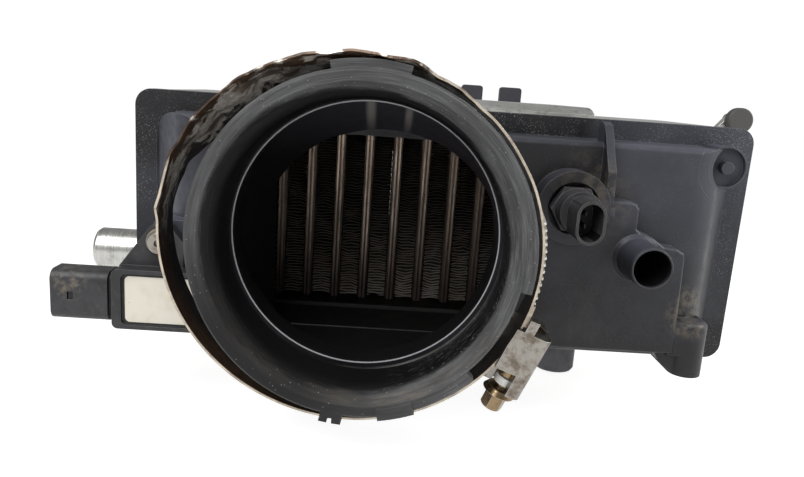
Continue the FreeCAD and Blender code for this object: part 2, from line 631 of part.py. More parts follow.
def oval_y(x, z, half_x, half_z, y0, y1):
    """Upright oval bar: a rectangle with half-round ends."""
    bar = box(x - half_x, x + half_x, y0, y1, z - half_z + half_x, z + half_z - half_x)
    low = rod(x, z - half_z + half_x, half_x, y0, y1)
    high = rod(x, z + half_z - half_x, half_x, y0, y1)
    return fuse(bar, [low, high])


def temperature_sensor():
    seat = -PAD_FACE + 1.5
    hex_r = 9.0
    points = [(TEMP_X + hex_r * math.cos(math.radians(60 * k)),
               TEMP_Z + hex_r * math.sin(math.radians(60 * k))) for k in range(6)]
    hexagon = prism_y(points, seat - 7.0, seat)
    barrel = rod(TEMP_X, TEMP_Z, 7.6, seat - 15.0, seat - 6.9)
    plug = oval_y(TEMP_X, TEMP_Z - 1.3, 5.0, 7.45, -TEMP_TIP, seat - 10.0)
    stem = rod(TEMP_X, TEMP_Z, TEMP_STEM_R, seat, seat + 14.0)
    solid = fuse(hexagon, [barrel, plug, stem])
    socket = oval_y(TEMP_X, TEMP_Z - 1.3, 4.0, 6.45, -TEMP_TIP - 1, -TEMP_TIP + 13.0)
    return one_solid(solid.cut(socket))


def temperature_terminals():
    back = -TEMP_TIP + 13.0
    pins = []
    for side in (-1, 1):
        z = TEMP_Z - 1.3 + side * 2.2
        pins.append(box(TEMP_X - 0.35, TEMP_X + 0.35, back - 6.0, back, z - 0.8, z + 0.8))
    return Part.makeCompound(pins)


# Brazed core and its case


def tube_x(index):
    return TUBE_FIRST_X + index * TUBE_PITCH


def cooling_tube(index):
    """Pressed pair of plates: flat tube with a seam lip down its front edge."""
    x = tube_x(index)
    half = TUBE_THICK / 2
    front = CORE_FRONT
    back = TUBE_BACK
    reach = CORE_HALF_HEIGHT + SHEET + 1.5
    outer = prism_z([(x - half, front + 1.6), (x - half, back), (x + half, back),
                     (x + half, front + 1.6), (x + 1.15, front), (x + 0.4, front),
                     (x, front + 0.9), (x - 0.4, front), (x - 1.15, front)], -reach, reach)
    inner = box(x - half + 0.6, x + half - 0.6, front + 3.0, back - 1.5, -reach - 1, reach + 1)
    return outer.cut(inner)


def cooling_fin(index):
    """Folded strip brazed between two tubes."""
    x0 = tube_x(index) + TUBE_THICK / 2
    x1 = tube_x(index + 1) - TUBE_THICK / 2
    reach = CORE_HALF_HEIGHT - CLEAR
    step = 2 * reach / FIN_FOLDS
    nose = FIN_SHEET / 2 / math.sin(math.atan(step / (x1 - x0)))
    line = []
    for k in range(FIN_FOLDS + 1):
        x = x0 + nose if k % 2 == 0 else x1 - nose
        line.append((x, -reach + k * step))
    outline = [(x + nose, z) for x, z in line] + [(x - nose, z) for x, z in reversed(line)]
    return prism_y(outline, CORE_FRONT + 2.0, TUBE_BACK - 1.5)


def ring_plate(y0, thick, edge, bore_grow):
    """Flat ring round the core's opening; edge is how far it stands beyond the case."""
    outer = rounded_plate(2 * (CASE_HALF_WIDTH + edge), 2 * (CASE_HALF_HEIGHT - FRAME_LIP + edge),
                          FLANGE_CORNER, y0, y0 + thick)
    bore = rounded_plate(2 * (HALF_X - FRAME_LIP + bore_grow), 2 * (CORE_HALF_HEIGHT + bore_grow),
                         3.0 + bore_grow, y0 - 1, y0 + thick + 1)
    return outer.cut(bore)


def tube_plates():
    plates = []
    for side in (-1, 1):
        z0 = CORE_HALF_HEIGHT if side > 0 else -CORE_HALF_HEIGHT - SHEET
        plate = box(-CASE_HALF_WIDTH + SHEET, CASE_HALF_WIDTH - SHEET, CASE_Y, CASE_BACK, z0, z0 + SHEET)
        holes = []
        for k in range(TUBE_COUNT):
            x = tube_x(k)
            half = TUBE_THICK / 2
            holes.append(prism_z([(x - half, CORE_FRONT + 1.6), (x - half, TUBE_BACK),
                                  (x + half, TUBE_BACK), (x + half, CORE_FRONT + 1.6),
                                  (x + 1.15, CORE_FRONT), (x - 1.15, CORE_FRONT)],
                                 z0 - 1, z0 + SHEET + 1))
        plates.append(plate.cut(Part.makeCompound(holes)))
    return Part.makeCompound(plates)


def top_cover():
    top = CASE_HALF_HEIGHT
    crest = top + CHANNEL_RISE
    cover = box(-CASE_HALF_WIDTH, CASE_HALF_WIDTH, CASE_Y, CASE_BACK, top - SHEET, top)
    left = -HALF_X + 71.0
    right = HALF_X - 54.5
    channel = prism_x([(CASE_Y + 0.5, top - 0.5), (CASE_Y + 0.5, top + 1.6), (CASE_Y + 7, crest),
                       (CASE_BACK - 12, crest), (CASE_BACK - 5, top - 0.5)], left, right)
    ends = [e for e in edges_along(channel, V(1, 0, 0)) if e.BoundBox.ZMin > crest - 0.1]
    ends = ends + [e for e in edges_along(channel, Y_AXIS) if e.BoundBox.ZMin > crest - 0.1]
    channel = channel.makeFillet(1.6, ends)
    hollow = prism_x([(CASE_Y + 2.5, top - SHEET - 1), (CASE_Y + 2.5, top + 0.4), (CASE_Y + 8, crest - 1.6),
                      (CASE_BACK - 13, crest - 1.6), (CASE_BACK - 9, top - SHEET - 1)], left + SHEET, right - SHEET)
    return one_solid(fuse(cover, [channel]).cut(hollow))


def core_shell():
    """Bottom and both sides bent from one sheet, with an ear for the locating peg."""
    low = -CASE_HALF_HEIGHT
    wide = CASE_HALF_WIDTH
    top = CASE_HALF_HEIGHT - SHEET
    bend = [(-wide, low), (wide, low), (wide, top), (wide - SHEET, top),
            (wide - SHEET, low + SHEET), (-wide + SHEET, low + SHEET), (-wide + SHEET, top), (-wide, top)]
    shell = prism_y(bend, CASE_Y, CASE_BACK)
    ear = prism_y([(wide - 0.5, top - 16.0), (wide - 0.5, top - 1.0), (wide + 1.6, top),
                   (PEG_X - 3.6, PEG_Z + 2.0), (PEG_X, PEG_Z + 4.2), (PEG_X + 3.6, PEG_Z),
                   (PEG_X, PEG_Z - 7.0)], PEG_Y + 4.0, PEG_Y + 8.0)
    stub_holes = [Part.makeCylinder(STUB_R, 12, V(-wide - 5, INLET_Y, INLET_Z), V(1, 0, 0)),
                  Part.makeCylinder(STUB_R, 12, V(OUTLET_X, OUTLET_Y, low - 5), Z_AXIS)]
    solid = fuse(shell, [ear])
    peg_hole = rod(PEG_X, PEG_Z, PEG_SHANK_R, PEG_Y, PEG_Y + 12)
    return one_solid(solid.cut(Part.makeCompound(stub_holes + [peg_hole])))


def coolant_stub(length):
    """Turned aluminium pipe with a collar, drawn standing out along -X from x = 0."""
    collar = STUB_R + 2.0
    profile = [(STUB_R - STUB_WALL, SHEET), (STUB_R, SHEET), (STUB_R, 0), (collar, 0), (collar, -2.0),
               (STUB_R, -3.0), (STUB_R, -length + 1.2), (STUB_R - 0.8, -length),
               (STUB_R - STUB_WALL, -length)]
    wire = Part.makePolygon([V(x, 0, r) for r, x in profile + [profile[0]]])
    return Part.Face(wire).revolve(V(0, 0, 0), V(1, 0, 0), 360)


def coolant_inlet():
    stub = coolant_stub(INLET_LENGTH)
    stub.translate(V(-CASE_HALF_WIDTH, INLET_Y, INLET_Z))
    return stub


def coolant_outlet():
    stub = coolant_stub(OUTLET_LENGTH)
    stub.rotate(V(0, 0, 0), Y_AXIS, -90)
    stub.translate(V(OUTLET_X, OUTLET_Y, -CASE_HALF_HEIGHT))
    return stub


def corner_peg():
    return one_solid(fuse(revolve_y([(0, PEG_Y), (PEG_R - 0.6, PEG_Y), (PEG_R, PEG_Y + 0.6),
                                     (PEG_R, PEG_Y + 4.0), (0, PEG_Y + 4.0)], PEG_X, PEG_Z),
                          [rod(PEG_X, PEG_Z, PEG_SHANK_R, PEG_Y + 4.0, PEG_Y + 12.0)]))


def rear_tank():
    """Plain moulding behind the core with the outlet and two upright tabs."""
    y0 = REAR_FLANGE_Y
    y1 = y0 + FLANGE_THICK
    crown = y1 + SHELL_DEPTH
    flange = rounded_plate(2 * CASE_HALF_WIDTH + 8.0, 2 * CASE_HALF_HEIGHT - 0.4, FLANGE_CORNER, y0, y1)
    shell = drafted_block(0.0, 1.0).mirror(V(0, 0, 0), Y_AXIS)
    shell.translate(V(0, y1, 0))
    outlet = rod(0, 0, REAR_PORT_R, crown - 4.0, crown + REAR_PORT_LENGTH)
    tabs = []
    for x0, x1 in ((13.2, 24.2), (33.2, 44.6)):
        tab = box(x0, x1, y0, y0 + 4.0, CASE_HALF_HEIGHT - 2.0, CASE_HALF_HEIGHT + 11.6)
        tabs.append(tab.makeFillet(1.6, edges_along(tab, Y_AXIS, lambda m: m.z > CASE_HALF_HEIGHT + 5)))
    solid = fuse(flange, [shell, outlet] + tabs)
    room = drafted_block(WALL, FLANGE_THICK + 1).mirror(V(0, 0, 0), Y_AXIS)
    room.translate(V(0, y1, 0))
    bore = rod(0, 0, REAR_PORT_R - WALL, crown - WALL - 2, crown + REAR_PORT_LENGTH + 1)
    return one_solid(solid.cut(Part.makeCompound([room, bore])).removeSplitter())


save("front_tank", front_tank())
save("foot_insert", foot_insert())
save("charge_cuff", charge_cuff())
save("clamp_band", clamp_band())
save("clamp_housing", clamp_housing())
save("clamp_screw", clamp_screw())
save("clamp_washer", clamp_washer())
save("pressure_sensor", pressure_sensor())
save("pressure_label", pressure_label())
save("pressure_bush", pressure_bush())
save("pressure_screw", pressure_screw())
save("pressure_terminals", pressure_terminals())
save("temperature_sensor", temperature_sensor())
save("temperature_terminals", temperature_terminals())
save("front_frame", ring_plate(FRAME_Y, FRAME_THICK, FRAME_LIP, 0.0))
save("rear_frame", ring_plate(CASE_BACK, FRAME_THICK, FRAME_LIP, 0.0))
save("tank_seals", Part.makeCompound([ring_plate(y, SEAL_THICK, FRAME_LIP - SEAL_INSET, 0.0)
                                      for y in (FLANGE_BACK, REAR_SEAL_Y)]))
save("tube_plates", tube_plates())
save("top_cover", top_cover())
save("core_shell", core_shell())
save("coolant_inlet", coolant_inlet())
save("coolant_outlet", coolant_outlet())
save("corner_peg", corner_peg())
save("rear_tank", rear_tank())
for number in range(TUBE_COUNT):
    save("cooling_tube_%02d" % (number + 1), cooling_tube(number))
for number in range(TUBE_COUNT - 1):
    save("cooling_fin_%02d" % (number + 1), cooling_fin(number))
print("pieces written:", len(SAVED))
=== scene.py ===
import json
import math

import bmesh
import bpy
from mathutils import Matrix, Vector, noise

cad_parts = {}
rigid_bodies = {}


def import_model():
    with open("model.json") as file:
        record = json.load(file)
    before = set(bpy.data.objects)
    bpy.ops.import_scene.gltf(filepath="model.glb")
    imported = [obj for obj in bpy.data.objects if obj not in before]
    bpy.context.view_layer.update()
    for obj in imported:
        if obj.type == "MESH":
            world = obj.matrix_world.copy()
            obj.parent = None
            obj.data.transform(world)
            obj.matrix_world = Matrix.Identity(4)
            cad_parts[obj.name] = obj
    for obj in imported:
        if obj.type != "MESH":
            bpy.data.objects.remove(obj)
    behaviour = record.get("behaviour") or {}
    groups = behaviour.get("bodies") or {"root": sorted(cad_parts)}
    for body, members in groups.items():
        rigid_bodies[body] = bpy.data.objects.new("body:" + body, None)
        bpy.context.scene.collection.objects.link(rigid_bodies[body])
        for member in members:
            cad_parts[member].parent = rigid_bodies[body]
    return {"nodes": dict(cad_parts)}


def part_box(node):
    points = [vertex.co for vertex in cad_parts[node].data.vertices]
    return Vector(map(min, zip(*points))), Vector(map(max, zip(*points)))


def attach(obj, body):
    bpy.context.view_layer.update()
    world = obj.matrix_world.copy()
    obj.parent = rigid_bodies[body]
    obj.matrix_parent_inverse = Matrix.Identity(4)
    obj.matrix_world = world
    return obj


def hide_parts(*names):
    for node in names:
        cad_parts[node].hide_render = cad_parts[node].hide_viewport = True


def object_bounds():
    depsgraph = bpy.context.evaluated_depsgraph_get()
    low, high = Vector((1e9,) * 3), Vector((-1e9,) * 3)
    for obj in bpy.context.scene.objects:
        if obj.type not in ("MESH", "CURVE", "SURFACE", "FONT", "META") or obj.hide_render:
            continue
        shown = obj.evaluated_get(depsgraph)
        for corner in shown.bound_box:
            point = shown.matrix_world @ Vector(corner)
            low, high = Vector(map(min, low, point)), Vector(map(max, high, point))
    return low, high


bl_info = {
    "name": "Charge air cooler",
    "version": (1, 0, 0),
    "blender": (4, 5, 0),
    "location": "3D View > Sidebar > Cooler",
    "description": "Finishes and fine pieces of a liquid-cooled charge air cooler",
    "category": "Object",
}

for left_over in list(bpy.data.objects):
    bpy.data.objects.remove(left_over)

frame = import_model()
CAD_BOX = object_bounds()
NODES = frame["nodes"]

# Places are in millimetres from the middle of the tank's sealing flange
FOOT_MOUTH = (98.2, -25.5, -46.3)
PORT_CENTRE = (-29.0, 0.0, 5.8)
CUFF_CENTRE = (-30.0, 0.0, 6.1)
GATE_CENTRE = (106.3, 0.0, 34.2)
NIPPLE_CENTRE = (71.2, 0.0, -0.2)
ROUND_MARK = (91.4, 0.0, 8.7)
FOOT_DIRT = (95.5, 0.0, -21.5)
BOSS_DIRT = (52.5, 0.0, 20.5)
LATCH_DIRT = (-134.8, 0.0, -20.6)
PLUG_CENTRE_X = 45.2
PLUG_CENTRE_Z = 15.9
SEAM_X = 68.0
PORT_MOUTH_Y = -51.9
NIPPLE_FLOOR_Y = -48.2

# The clamp's band is drawn upright about the origin, and these put it askew on the cuff
BAND_CENTRE = (-34.2, -66.0, 3.5)
BAND_TURN = math.radians(-3.8)
BAND_LEAN = math.radians(7.2)
BAND_MIDDLE = 61.8
BAND_SHEET = 0.8
BAND_WIDTH = 12.7
BAND_STRIPS = 10
BAND_STEPS = 480
HOUSING_ANGLE = -29.5
TAIL_START = HOUSING_ANGLE + 9.4
TAIL_TURN = 7.2
TAIL_STEPS = 9
# Angle round the clamp, how far the strip is tipped outward in front, and how far it sinks
BAND_BENDS = ((20, 0, 0), (37, 5, -0.8), (55, 12, -1.6), (77, 24, -2.1), (92, 34, -3.4), (108, 42, -3.8),
              (125, 44, -3.8), (144, 38, -2.7), (160, 11, -0.7), (175, 0, 0))
FULL_CRUMPLE = 0.4
DENT_DEPTH = 1.1
DENT_FINE_DEPTH = 0.35
KINK_ANGLE = 171
KINK_SPREAD = 4
KINK_RISE = 0.9

# Thread ridges on the band, in metres and degrees
RIDGE_REACH = math.radians(13.0)
RIDGE_SLANT = math.radians(8)
RIDGE_SIZE = (0.0013, 0.0092, 0.0011)
RIDGE_RISE = 0.00035
RIDGE_ROUND = 0.00034

# Points in one fold of the fins, and how far each fold starts behind the CAD fin's front
FOLD_STEPS = 8
FOLD_SETBACK = 0.0004

FLOOR_GAP = 0.0005
FLOOR_GLOW = 1.76
FLOOR_GLOW_SHARE = 0.5
BACKDROP_LIGHT = 1.02
LENS = 31.34
SENSOR_WIDTH = 36.0
CAMERA_PLACE = (-23.495, -283.686, 54.716)
CAMERA_RIGHT = (0.9976313, -0.0143532, 0.0672739)
CAMERA_UP = (-0.0628473, 0.2073951, 0.9762364)
CAMERA_BACK = (-0.0279644, -0.9781520, 0.2060018)


def at(x, y, z):
    """Point given from the middle of the flange, in the row's frame and metres."""
    return Vector(((x - FOOT_MOUTH[0]) / 1000, (y - FOOT_MOUTH[1]) / 1000, (z - FOOT_MOUTH[2]) / 1000))


def along_x(x):
    return at(x, 0, 0).x


def along_y(y):
    return at(0, y, 0).y


def along_z(z):
    return at(0, 0, z).z


def tone(red, green, blue):
    """Colour as it shows on screen, 0 to 255, in the linear values of a shader."""
    def linear(part):
        part /= 255.0
        return part / 12.92 if part <= 0.04045 else ((part + 0.055) / 1.055) ** 2.4
    return (linear(red), linear(green), linear(blue))


def colour_property(name, description, default):
    return bpy.props.FloatVectorProperty(name=name, description=description, default=default,
                                         subtype="COLOR", size=3, min=0.0, max=1.0)


class CoolerColours(bpy.types.PropertyGroup):
    """Colours of the cooler's finishes."""
    tank: colour_property("Tank", "Black moulded tank", tone(16, 16, 19))
    tank_dust: colour_property("Tank dust", "Film of dust on the tank", tone(86, 88, 99))
    cuff: colour_property("Cuff", "Grey rubber of the cuff", tone(58, 58, 59))
    cuff_worn: colour_property("Worn cuff", "Scuffed rubber", tone(118, 119, 119))
    dirt: colour_property("Dirt", "Brown road dirt", tone(110, 100, 86))
    steel: colour_property("Steel", "Clamp steel", tone(196, 190, 182))
    steel_stain: colour_property("Steel stain", "Stains on the clamp", tone(96, 84, 72))
    label: colour_property("Label", "Bare label film", tone(205, 200, 187))
    sensor: colour_property("Sensor", "Black sensor moulding", tone(34, 34, 36))
    alloy: colour_property("Alloy", "Turned and rolled aluminium", tone(206, 206, 202))
    pipe: colour_property("Coolant pipe", "Turned aluminium pipe", tone(184, 184, 180))
    tube: colour_property("Cooling tube", "Brazed tube edges", tone(226, 204, 184))
    fin: colour_property("Fin", "Folded fins", tone(238, 232, 226))
    peg: colour_property("Peg", "Plastic peg", tone(55, 54, 51))
    brass: colour_property("Brass", "Inserts and terminals", tone(176, 150, 104))


class CoolerSizes(bpy.types.PropertyGroup):
    """Sizes of the fine pieces."""
    fin_pitch: bpy.props.FloatProperty(name="Fin pitch", description="Height of one fold",
                                       default=0.00122, min=0.0006, max=0.004, unit="LENGTH", precision=5)
    fin_sheet: bpy.props.FloatProperty(name="Fin sheet", description="Thickness of the fin strip",
                                       default=0.00044, min=0.00005, max=0.0005, unit="LENGTH", precision=5)
    thread_pitch: bpy.props.FloatProperty(name="Thread pitch", description="Step of the ridges on the band",
                                          default=0.0023, min=0.001, max=0.006, unit="LENGTH", precision=5)


class CoolerStage(bpy.types.PropertyGroup):
    """Floor and lamps."""
    world_light: bpy.props.FloatProperty(name="World light", description="Strength of the even light",
                                         default=0.38, min=0.0, max=3.0)
    key_watts: bpy.props.FloatProperty(name="Key lamp", description="Power of the lamp above the front",
                                       default=6.0, min=0.0, max=200.0, unit="POWER")
    floor_tone: colour_property("Floor", "Pale floor", (0.72, 0.72, 0.72))


class Finish:
    """A node material that is put together socket by socket."""

    def __init__(self, name, metallic=0.0, specular=0.5):
        self.material = bpy.data.materials.new(name)
        self.material.use_nodes = True
        self.tree = self.material.node_tree
        self.tree.nodes.clear()
        out = self.add("ShaderNodeOutputMaterial")
        self.shader = self.add("ShaderNodeBsdfPrincipled")
        self.put(out.inputs["Surface"], self.shader.outputs["BSDF"])
        self.put(self.shader.inputs["Metallic"], metallic)
        self.put(self.shader.inputs["Specular IOR Level"], specular)
        self.place = self.add("ShaderNodeTexCoord").outputs["Object"]

    def add(self, kind, **settings):
        node = self.tree.nodes.new(kind)
        for key, value in settings.items():
            setattr(node, key, value)
        return node

    def put(self, socket, value):
        """Link a socket, or set it where the value is plain."""
        if isinstance(value, bpy.types.NodeSocket):
            self.tree.links.new(value, socket)
        elif isinstance(value, tuple) and socket.type == "RGBA":
            socket.default_value = (*value[:3], 1.0)
        else:
            socket.default_value = value

    def calc(self, operation, *values):
        """One math node, whose sockets take the values in turn."""
        node = self.add("ShaderNodeMath", operation=operation)
        for socket, value in zip(node.inputs, values):
            self.put(socket, value)
        return node.outputs[0]

    def times(self, first, *others):
        for other in others:
            first = self.calc("MULTIPLY", first, other)
        return first

    def plus(self, first, *others):
        for other in others:
            first = self.calc("ADD", first, other)
        return first

    def minus(self, first, second):
        return self.calc("SUBTRACT", first, second)

    def most(self, first, *others):
        for other in others:
            first = self.calc("MAXIMUM", first, other)
        return first

    def least(self, first, second):
        return self.calc("MINIMUM", first, second)

    def under(self, value, limit):
        """1 where the value is under the limit, 0 elsewhere."""
        return self.calc("LESS_THAN", value, limit)

    def over(self, value, limit):
        return self.calc("GREATER_THAN", value, limit)

    def near(self, value, middle, half):
        """1 within half a width of the middle, 0 past it."""
        return self.under(self.calc("ABSOLUTE", self.minus(value, middle)), half)

    def span(self, value, low, high, to_low=0.0, to_high=1.0):
        """Stretch low to high over to_low to to_high, and hold it at both ends."""
        node = self.add("ShaderNodeMapRange")
        self.put(node.inputs["Value"], value)
        for key, number in (("From Min", low), ("From Max", high), ("To Min", to_low), ("To Max", to_high)):
            node.inputs[key].default_value = number
        return node.outputs["Result"]

    def blend(self, factor, first, second):
        node = self.add("ShaderNodeMix", data_type="RGBA")
        self.put(node.inputs[0], factor)
        self.put(node.inputs[6], first)
        self.put(node.inputs[7], second)
        return node.outputs[2]

    def vector(self, operation, first, second):
        node = self.add("ShaderNodeVectorMath", operation=operation)
        self.put(node.inputs[0], first)
        self.put(node.inputs[1], second)
        return node.outputs[0]

    def stretched(self, factors, place=None):
        return self.vector("MULTIPLY", place or self.place, factors)

    def noise(self, scale, detail=3.0, roughness=0.55, place=None):
        node = self.add("ShaderNodeTexNoise")
        self.put(node.inputs["Vector"], place or self.place)
        node.inputs["Scale"].default_value = scale
        node.inputs["Detail"].default_value = detail
        node.inputs["Roughness"].default_value = roughness
        return node.outputs["Fac"]

    def specks(self, scale, size, share):
        """Small round dots: one in a share of the cells of a random grid."""
        node = self.add("ShaderNodeTexVoronoi")
        self.put(node.inputs["Vector"], self.place)
        node.inputs["Scale"].default_value = scale
        dot = self.span(node.outputs["Distance"], size * 0.6, size, 1.0, 0.0)
        pick = self.add("ShaderNodeSeparateColor")
        self.put(pick.inputs[0], node.outputs["Color"])
        return self.times(dot, self.under(pick.outputs[0], share))

    def parts(self, place=None):
        node = self.add("ShaderNodeSeparateXYZ")
        self.put(node.inputs[0], place or self.place)
        return node.outputs

    def faced(self):
        """The way the surface faces."""
        return self.add("ShaderNodeNewGeometry").outputs["Normal"]

    def polar(self, centre):
        """Distance in metres from a line along Y, and a seamless place round it."""
        here = self.parts(self.vector("SUBTRACT", self.place, tuple(at(*centre))))
        radius = self.calc("SQRT", self.plus(self.times(here[0], here[0]), self.times(here[2], here[2])))
        ring = self.add("ShaderNodeCombineXYZ")
        self.put(ring.inputs[0], self.calc("DIVIDE", here[0], radius))
        self.put(ring.inputs[1], self.calc("DIVIDE", here[2], radius))
        self.put(ring.inputs[2], radius)
        return radius, ring.outputs[0]

    def joined(self, x, y, z, wide, deep):
        """A place from two shares of a ring and a depth, each with its own scale."""
        node = self.add("ShaderNodeCombineXYZ")
        for socket, value in zip(node.inputs, (x, y, z)):
            self.put(socket, value)
        return self.vector("MULTIPLY", node.outputs[0], (wide, wide, deep))

    def ring(self, centre, radius, width):
        """A thin ring about a line along Y."""
        away = self.calc("ABSOLUTE", self.minus(self.polar(centre)[0], radius))
        return self.span(away, width, width * 0.4)

    def stripe(self, value, middle, half):
        """1 in the middle of a soft stripe, 0 past half its width."""
        return self.span(self.calc("ABSOLUTE", self.minus(value, middle)), half, half * 0.3)

    def blot(self, centre, size, soft):
        """A round patch about a line along Y, soft at its edge."""
        return self.span(self.polar(centre)[0], size, size - soft)

    def dot(self, first, second):
        node = self.add("ShaderNodeVectorMath", operation="DOT_PRODUCT")
        self.put(node.inputs[0], first)
        self.put(node.inputs[1], second)
        return node.outputs["Value"]

    def inside(self):
        """1 on the walls of the port, the hood and the room behind them."""
        facing = self.faced()
        middle = self.vector("SUBTRACT", self.place, tuple(at(0, 2, 0)))
        inward = self.under(self.dot(middle, facing), 0.0)
        deep = self.parts()[1]
        room = self.times(inward, self.over(deep, along_y(-23.0)))
        port = self.vector("SUBTRACT", self.place, tuple(at(*PORT_CENTRE)))
        port = self.vector("MULTIPLY", port, (1.0, 0.0, 1.0))
        bored = self.under(self.dot(port, facing), -0.0001)
        near = self.under(self.polar(PORT_CENTRE)[0], 0.056)
        bored = self.times(bored, near, self.under(deep, along_y(-20.0)))
        return self.most(room, bored)

    def rounded_normal(self, radius):
        node = self.add("ShaderNodeBevel", samples=4)
        node.inputs["Radius"].default_value = radius
        return node.outputs["Normal"]

    def edge(self, radius):
        """1 on sharp edges, 0 on open faces."""
        return self.span(self.dot(self.rounded_normal(radius), self.faced()), 0.99, 0.86)

    def bump(self, height, distance, strength=1.0, normal=None):
        node = self.add("ShaderNodeBump")
        node.inputs["Strength"].default_value = strength
        node.inputs["Distance"].default_value = distance
        self.put(node.inputs["Height"], height)
        if normal is not None:
            self.put(node.inputs["Normal"], normal)
        return node.outputs["Normal"]

    def done(self, colour, roughness, normal):
        for key, value in (("Base Color", colour), ("Roughness", roughness), ("Normal", normal)):
            self.put(self.shader.inputs[key], value)
        return self.material


def tank_finish(colours):
    """Glass-filled black moulding: dusty outside, fine pale specks on the flange. Painted shade darkens the
    inside, the nipple's bore, the bottom edge and the upper face left of the rib; painted highlights mark the
    edges, the port's mouth and streaks inside.
    """
    f = Finish("tank_moulding", specular=0.34)
    here = f.parts()
    film = f.span(f.noise(24.0, 5.0, 0.62), 0.42, 0.7)
    cloud = f.span(f.noise(11.0, 2.0, 0.5), 0.36, 0.64)
    up = f.span(f.parts(f.faced())[2], 0.1, 0.9)
    dust = f.plus(f.times(film, 0.16), f.times(cloud, 0.12))
    # Painted shade: less dust, so a darker face, on the upper part left of the rib and along the bottom.
    shade = f.times(f.span(here[0], along_x(60), along_x(54)), f.span(here[2], along_z(14), along_z(24)))
    shaded_less_dust = f.most(shade, f.span(here[2], along_z(-30), along_z(-38)))
    dust = f.plus(f.times(dust, f.minus(1.0, shaded_less_dust)), f.times(up, 0.24))
    right = f.times(f.span(here[0], along_x(60), along_x(95)), f.span(here[2], along_z(-10), along_z(20)))
    dust = f.plus(dust, f.times(right, 0.22))
    corner = f.times(f.span(here[0], along_x(-84), along_x(-104)),
                     f.span(here[1], along_y(-1.5), along_y(-4)),
                     f.span(f.noise(300.0, 4.0, 0.7), 0.3, 0.7, 0.35, 1.0))
    dust = f.least(f.plus(dust, f.times(corner, 0.5)), 1.0)
    rim = f.span(here[1], along_y(-2.2), along_y(-0.6))
    fine = f.most(f.specks(1500.0, 0.30, 0.42), f.specks(2500.0, 0.3, 0.3))
    patchy = f.span(f.noise(70.0, 4.0), 0.36, 0.62, 0.15, 1.0)
    spread = f.times(f.plus(f.times(rim, 0.36), 0.06), patchy)
    specked = f.times(fine, spread)
    edge = f.edge(0.0005)
    brown = f.times(f.blot(FOOT_DIRT, 0.011, 0.004), f.span(f.noise(420.0, 4.0, 0.7), 0.4, 0.6), 0.42)
    grime = f.times(f.blot(BOSS_DIRT, 0.019, 0.012), f.span(f.noise(260.0, 5.0, 0.7), 0.42, 0.62), 0.3)
    grime = f.most(brown, grime)
    smear = f.span(f.noise(60.0, 4.0, 0.6, f.stretched((1.0, 1.0, 0.35))), 0.55, 0.85, 0.0, 0.16)
    colour = f.blend(dust, colours.tank[:], colours.tank_dust[:])
    colour = f.blend(f.most(smear, grime), colour, colours.dirt[:])
    # Pale edges: partly dust and wear, partly a painted highlight.
    colour = f.blend(f.times(edge, 0.3), colour, tone(108, 109, 116))
    # Painted shade: the face darkens towards its bottom edge.
    low = f.span(here[2], along_z(-31), along_z(-36))
    colour = f.blend(f.times(low, 0.8), colour, tone(18, 18, 20))
    colour = f.blend(specked, colour, tone(178, 178, 178))
    # Painted light and shade inside the port, hood and room: near-black low down, lighter higher up, with two
    # painted highlight streaks near the top.
    slope = f.plus(here[2], f.times(here[0], 0.35))
    lit_above = f.span(slope, along_z(18) - 0.045, along_z(44) - 0.04)
    inside_shading = f.blend(lit_above, tone(13, 13, 14), tone(47, 46, 52))
    shine = f.most(f.stripe(here[0], along_x(-30.2), 0.0022), f.stripe(here[0], along_x(-16.8), 0.0018))
    shine = f.times(shine, f.span(here[2], along_z(38), along_z(46)), 0.6)
    inside_shading = f.blend(shine, inside_shading, tone(150, 145, 138))
    colour = f.blend(f.inside(), colour, inside_shading)
    # Painted highlight: a thin pale ring on the port's mouth.
    mouth = f.times(f.ring(PORT_CENTRE, 0.0451, 0.0003), f.under(here[1], along_y(PORT_MOUTH_Y)))
    colour = f.blend(mouth, colour, tone(170, 170, 174))
    # Painted shade: the floor of the nipple's bore is near-black.
    nipple = f.under(f.polar(NIPPLE_CENTRE)[0], 0.0068)
    nipple = f.times(nipple, f.span(here[1], along_y(NIPPLE_FLOOR_Y), along_y(NIPPLE_FLOOR_Y + 2.2)))
    colour = f.blend(nipple, colour, tone(8, 8, 9))
    rough = f.span(f.noise(140.0, 4.0), 0.3, 0.75, 0.36, 0.54)
    gate = f.most(f.ring(GATE_CENTRE, 0.0096, 0.0005), f.ring(GATE_CENTRE, 0.0137, 0.0003))
    mark = f.ring(ROUND_MARK, 0.0030, 0.0004)
    seam = f.times(f.near(here[0], along_x(SEAM_X), 0.00018), f.over(here[2], along_z(20)))
    height = f.plus(f.times(f.noise(2300.0, 2.0), 0.4), f.most(specked, gate, mark, seam))
    normal = f.bump(height, 0.00008, 0.7, f.rounded_normal(0.0004))
    return f.done(colour, rough, normal)


